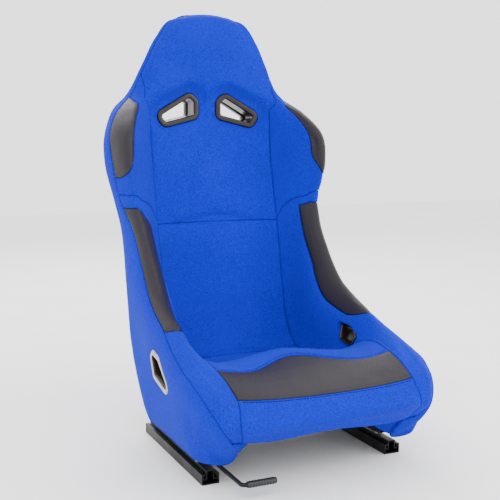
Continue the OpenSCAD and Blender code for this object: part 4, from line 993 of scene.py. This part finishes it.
def lap_place(px, py, x):
    """The lap belt's way slants: it runs forward and down towards the outside."""
    return np.stack([x + 0 * px, lap_run * (x - lap_x) + lap_y + px, lap_rise * (x - lap_x) + lap_z + py], -1)


def lap_inner_place(px, py, depth):
    """Depth behind the leaning inner face, solved for the height z at which the way meets it."""
    z = (lap_rise * (lap_in_x + depth - lap_x - lap_lean * lap_in_z) + lap_z + py) / (1 - lap_rise * lap_lean)
    return lap_place(px, py, lap_in_x + depth + lap_lean * (z - lap_in_z))


def sweep(name, outline, place, profile, sign=1, flip=False, closed=True):
    """Sweeps a profile of (offset, depth) steps round an outline. A closed profile makes a ring; an
    open one is capped at both ends, which makes a plug."""
    points, normals = rounded(outline)
    rings = [place(*(points + normals * off).T, depth) for off, depth in profile]
    grid = np.stack(rings) * MM * np.array([sign, 1, 1])
    quads = grid_quads(*grid.shape[:2], wrap=True, closed=closed)
    obj = add_mesh(name, grid, quads if (sign > 0) != flip else quads[:, ::-1])
    if not closed:
        work = bmesh.new()
        work.from_mesh(obj.data)
        bmesh.ops.holes_fill(work, edges=[e for e in work.edges if e.is_boundary], sides=0)
        bmesh.ops.triangulate(work, faces=[f for f in work.faces if len(f.verts) > 4])
        bmesh.ops.recalc_face_normals(work, faces=work.faces)
        work.to_mesh(obj.data)
        work.free()
    return obj


print("middle of the left shoulder slot:", harness_place(0, 0, slot_y))

# %% Cut the slots
grow, far_y = sleeve_t + 0.3, slot_y + 110
ways = {"front": (slot_outline, harness_place, slot_y - 60, far_y),
        "rear": (slot_outline, rear_place, slot_y + 10, far_y),
        "lap_in": (lap_in_outline, lap_inner_place, -18, 40),
        "lap_out": (lap_outline, lap_place, lap_meet_x, lap_x + 20)}
plugs = {(hand, key): sweep("plug", outline, place, [(grow, start), (grow, end)], sign, closed=False)
         for hand, sign in HANDS for key, (outline, place, start, end) in ways.items()}


def cut(obj, keys, hands=("left", "right")):
    """Takes the named plugs out of a piece and keeps the result as its mesh. One boolean modifier per
    plug, with the solver for closed meshes, is quick and leaves clean edges."""
    for cutter in [plugs[hand, key] for hand in hands for key in keys]:
        tool = obj.modifiers.new("cut", "BOOLEAN")
        tool.operation, tool.solver, tool.object = "DIFFERENCE", "MANIFOLD", cutter
    depsgraph = bpy.context.evaluated_depsgraph_get()
    mesh = bpy.data.meshes.new_from_object(obj.evaluated_get(depsgraph), depsgraph=depsgraph)
    obj.modifiers.clear()
    obj.data = mesh


cut(panels["upper_back"], ["front"])
cut(panels["rear_cloth"], ["rear"])
cut(outer_shell, ["rear"])
cut(inner_shell, ["front", "lap_in", "lap_out"])
for hand, _ in HANDS:
    cut(panels[f"{hand}_bolster"], ["lap_in", "lap_out"], [hand])
    cut(panels[f"{hand}_side"], ["lap_out"], [hand])
print("faces after the cuts:", [len(panels[name].data.polygons) for name in ("upper_back", "left_bolster")])
for plug in plugs.values():
    bpy.data.objects.remove(plug)

# %% [markdown]
# ### Frames
# A moulded frame snaps into each end of a slot, so that the belt runs over smooth plastic. Its rim is
# rounded towards the belt and thin at its outer edge. A box with bevelled edges would show flat steps,
# so each frame is a profile of a dozen points that is swept round the slot's outline. A pale ring on
# each outer lap frame is a painted highlight: it stands for the light that the frame's rounded edge
# reflects. Profiles are (distance out from the outline, distance along the belt's way).

# %% Plastic frames
def finish_piece(obj, slot_name, cad=(), finish=None):
    """Gives a piece its finish and its body, and hides the imported parts that it takes the place of."""
    obj.data.materials.clear()
    obj.data.materials.append(finishes[finish or slot_name])
    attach(obj, "seat")
    if cad:
        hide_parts(*cad)


frame_profile = [(0, 45), (0, 5), (0.2, 2.4), (0.9, 0.9), (2.2, 0.15), (4.5, -0.5), (9, -0.5), (11, 0.2),
                 (12.3, 1.4), (slot_w, 3.2), (slot_w, 6.5), (2.2, 6.5), (sleeve_t, 8), (sleeve_t, 45)]
rear_profile = [(0, -34), (0, -3), (0.8, -0.8), (2.5, 0), (8, 0), (10, -0.8), (11, -3), (11, -6),
                (sleeve_t, -6), (sleeve_t, -34)]
lap_end = lap_meet_x + 0.3 - lap_x
lap_profile = [(0, lap_end), (0, -3), (0.4, -1), (1.6, 0.3), (4.5, 1), (7.5, 0.8), (9.6, -0.2), (10.8, -2),
               (11, -5), (sleeve_t, -5), (sleeve_t, lap_end)]
lap_in_profile = [(0, 36), (0, 3), (0.4, 1), (1.2, 0.2), (2.8, -0.2), (4.2, 0.3), (5, 1.6), (5, 4),
                  (sleeve_t, 4), (sleeve_t, 36)]
painted_ring_profile = [(1.4, -0.4), (1.5, 0.6), (3, 1.4), (6, 1.6), (8.4, 1), (10.2, -0.4), (10.6, -1.2), (8, -1.2),
                (4, -0.6)]
for hand, sign in HANDS:
    for part, outline, place, profile, start, flip in (
            ("harness_bezel", slot_outline, harness_place, frame_profile, slot_front, True),
            ("harness_rear_bezel", slot_outline, rear_place, rear_profile, slot_y + 72, False),
            ("lap_outer_bezel", lap_outline, lap_place, lap_profile, lap_x, False),
            ("lap_inner_bezel", lap_in_outline, lap_inner_place, lap_in_profile, 0, True),
            # The pale ring is a painted highlight on the lap frame's rounded edge and takes the place of no
            # imported part
            ("lap_trim", lap_outline, lap_place, painted_ring_profile, lap_x, False)):
        painted_ring = part == "lap_trim"
        ring = sweep(f"{hand}_{part}" + ("" if painted_ring else "_moulding"), outline, place,
                     [(off, start + depth) for off, depth in profile], sign, flip=flip)
        finish_piece(ring, "bezel_plastic", cad=() if painted_ring else [f"{hand}_{part}"],
                     finish="satin_trim" if painted_ring else None)
print("points round a shoulder frame:", len(rounded(slot_outline)[0]))

# %% [markdown]
# ### Bosses
# The shell is bolted to the frame through four thick places in its pan. They are turned parts in form,
# so a short profile is turned round an upright axis, with the bolt's hole left open.

# %% Bosses under the pan
def lathe(name, profile, centre, segments=40):
    """Turns a profile of (radius, height) about an upright axis through centre: x = r cos(angle),
    y = r sin(angle)."""
    angle = np.linspace(0, 2 * np.pi, segments, endpoint=False)
    r, z = np.array(profile, float).T
    grid = np.stack([r[:, None] * np.cos(angle) + centre[0], r[:, None] * np.sin(angle) + centre[1],
                     z[:, None] + centre[2] + 0 * angle], -1) * MM
    return add_mesh(name, grid, grid_quads(*grid.shape[:2], wrap=True, closed=True)[:, ::-1])


boss = [(4.3, 0), (15, 0), (16.4, 0.5), (17, 1.8), (17, 14), (4.3, 14)]
for end, y, z in (("front", -92, 163), ("rear", 70, 114.5)):
    for hand, sign in HANDS:
        made = lathe(f"{end}_{hand}_boss", boss, (120 * sign, y, z))
        finish_piece(made, "moulded_shell", cad=["pan_shell"])
finish_piece(inner_shell, "moulded_shell",
             cad=["pan_shell", "back_shell", *pair("hip_shell"), *pair("wing_shell")])
finish_piece(outer_shell, "moulded_shell", cad=["rear_shell"])
print("points of a boss's profile:", len(boss))

# %% [markdown]
# ### What each panel is
# Every panel now gets its cloth or vinyl, and the imported solid that it takes the place of is hidden. The
# padded ones are foam all through, and the two sides and the rear are single sheets, stretched over their
# shells.

# %% Hand each panel its cloth and its body, and hide the solid it takes the place of
stands_for = {"cushion_front": "cushion_pad", "cushion_rear": "cushion_pad", "cushion_grey": "cushion_insert",
              "lower_back": "lower_back_pad", "upper_back": "upper_back_pad", "rear_cloth": "rear_cover"}
for hand, _ in HANDS:
    for part, solid in (("bolster", "bolster_pad"), ("bolster_patch", "bolster_insert"), ("wing", "wing_pad"),
                        ("wing_patch", "wing_insert"), ("side", "side_cover")):
        stands_for[f"{hand}_{part}"] = f"{hand}_{solid}"
for name, solid in stands_for.items():
    cloth = "grey_vinyl" if name.endswith(("grey", "patch")) else "blue_cloth"
    finish_piece(panels[name], cloth, cad=[solid])
for name in [name for name in panels if name not in stands_for]:
    finish_piece(panels[name], "blue_cloth")
print("panels dressed:", len(panels))

# %% [markdown]
# ### Stitches
# The seams before and behind the grey cushion panel are topstitched with dark thread. A row of stitches
# could be a dashed line in the cloth's colour, but light from the side shows that they stand proud. So
# each is a small capsule, laid on the finished cloth by a ray that is shot down onto it.

# %% Stitches
def stitches(name, s, t, on, pitch=5.6 * MM, long=3.8 * MM, thick=0.75 * MM):
    """A row of short capsules along places s and t, laid on a finished panel. Each is five rings of
    eight points along the seam, from 0.3 of its thickness at the ends to the full one in the middle."""
    line, up = skin(s, t), outward(s, t)
    along = np.concatenate([[0], np.cumsum(np.linalg.norm(np.diff(line, axis=0), axis=1))])
    at = np.arange(pitch, along[-1] - pitch / 2, pitch)
    centre, up, ahead = (np.stack([np.interp(at, along, v[:, k]) for k in range(3)], -1)
                         for v in (line, up, np.gradient(line, axis=0)))
    ahead /= np.linalg.norm(ahead, axis=1, keepdims=True)
    across = np.cross(ahead, up)
    work = bmesh.new()
    work.from_mesh(on.data)
    tree = BVHTree.FromBMesh(work)
    hits = [tree.ray_cast(Vector(c + 0.02 * u), Vector(-u))[0] for c, u in zip(centre, up)]
    work.free()
    print(name, "stitches:", len(hits), "on the cloth:", sum(h is not None for h in hits))
    centre = np.array([h if h else c for h, c in zip(hits, centre)])
    x = np.array([-0.5, -0.4, 0, 0.4, 0.5]) * long
    r = np.array([0.3, 0.85, 1, 0.85, 0.3]) * thick
    angle = np.arange(8) * np.pi / 4
    ring = (up[:, None, :] * np.cos(angle)[:, None] + across[:, None, :] * np.sin(angle)[:, None])
    points = (centre[:, None, None] + ahead[:, None, None] * x[:, None, None]
              + ring[:, None] * r[:, None, None])
    caps = np.array([[0, 1, 2, 3], [0, 3, 4, 7], [4, 5, 6, 7]])
    one = np.concatenate([grid_quads(5, 8, wrap=True)[:, ::-1], caps, caps[:, ::-1] + 32])
    quads = (one[None] + 40 * np.arange(len(centre))[:, None, None]).reshape(-1, 4)
    finish_piece(add_mesh(name, points.reshape(-1, 3), quads), "blue_cloth", finish="blue_thread")


def beside(line, t, gap):
    """Places s a little before (gap below 0) or after a seam line, gap metres away along the seat."""
    s = line(t)
    return s + gap / (np.linalg.norm(skin(s + 0.02, t) - skin(s, t), axis=-1) / 0.02)


t = np.linspace(-0.97, 0.97, 300)
stitch_gap = 5.2 * MM
stitches("front_stitches", beside(fixed(grey_front), t, -stitch_gap), t, panels["cushion_front"])
stitches("wave_stitches", beside(wave, t, stitch_gap), t, panels["cushion_rear"])

# %% [markdown]
# ## Floor, light and camera
# The seat stands on a pale floor in a bright white surround, which keeps the shadows soft. A large soft
# light over the front left gives the forms, one a little stronger and lower on the right opens the dark
# side, and one behind draws the edges. Small hard lights would show the cloth's bumps too sharply.

# %% Floor
floor = add_mesh("floor", np.array([[-6, -6, 0], [6, -6, 0], [-6, 6, 0], [6, 6, 0]], float),
                 np.array([[0, 1, 3, 2]]))
pale, tree, shader, solid = new_material("pale_floor", Roughness=0.85, Specular_IOR_Level=0.1)
tree.links.new(ramp(tree, noise(tree, solid, 3.0), [(0.3, (0.9,) * 3), (0.7, (0.94,) * 3)]),
               shader.inputs["Base Color"])
floor.data.materials.append(pale)
print("floor faces:", len(floor.data.polygons))

# %% Lights
def area_light(name, place, target, size, power):
    """A square soft light at place that faces target; size in metres, power in watts."""
    data = bpy.data.lights.new(name, "AREA")
    data.shape, data.size, data.energy = "SQUARE", size, power
    lamp = bpy.data.objects.new(name, data)
    lamp.location = place
    lamp.rotation_euler = (Vector(target) - Vector(place)).to_track_quat("-Z", "Y").to_euler()
    bpy.context.scene.collection.objects.link(lamp)


area_light("key", (-1.6, -2.4, 2.6), (0, 0, 0.4), 2.2, 46)
area_light("fill", (2.4, -1.8, 1.6), (0, 0, 0.4), 2.0, 56)
area_light("rim", (0.3, 2.4, 2.4), (0, 0, 0.6), 1.8, 70)
world = bpy.data.worlds.new("studio")
world.use_nodes = True
surround = world.node_tree.nodes["Background"].inputs
surround["Color"].default_value, surround["Strength"].default_value = (1, 1, 1, 1), 2.3
bpy.context.scene.world = world
print("lights:", [light.name for light in bpy.data.lights])

# %% Camera
azimuth, elevation = -24.46, 7.06
lens = bpy.data.cameras.new("camera")
lens.lens, lens.sensor_width = 63.84, 36
camera = bpy.data.objects.new("camera", lens)
camera.location = (-0.7904, -1.6471, 0.6371)
camera.rotation_euler = (math.radians(90 - elevation), 0, math.radians(azimuth))
bpy.context.scene.collection.objects.link(camera)
bpy.context.scene.camera = camera
print("camera at", [round(v, 3) for v in camera.location])
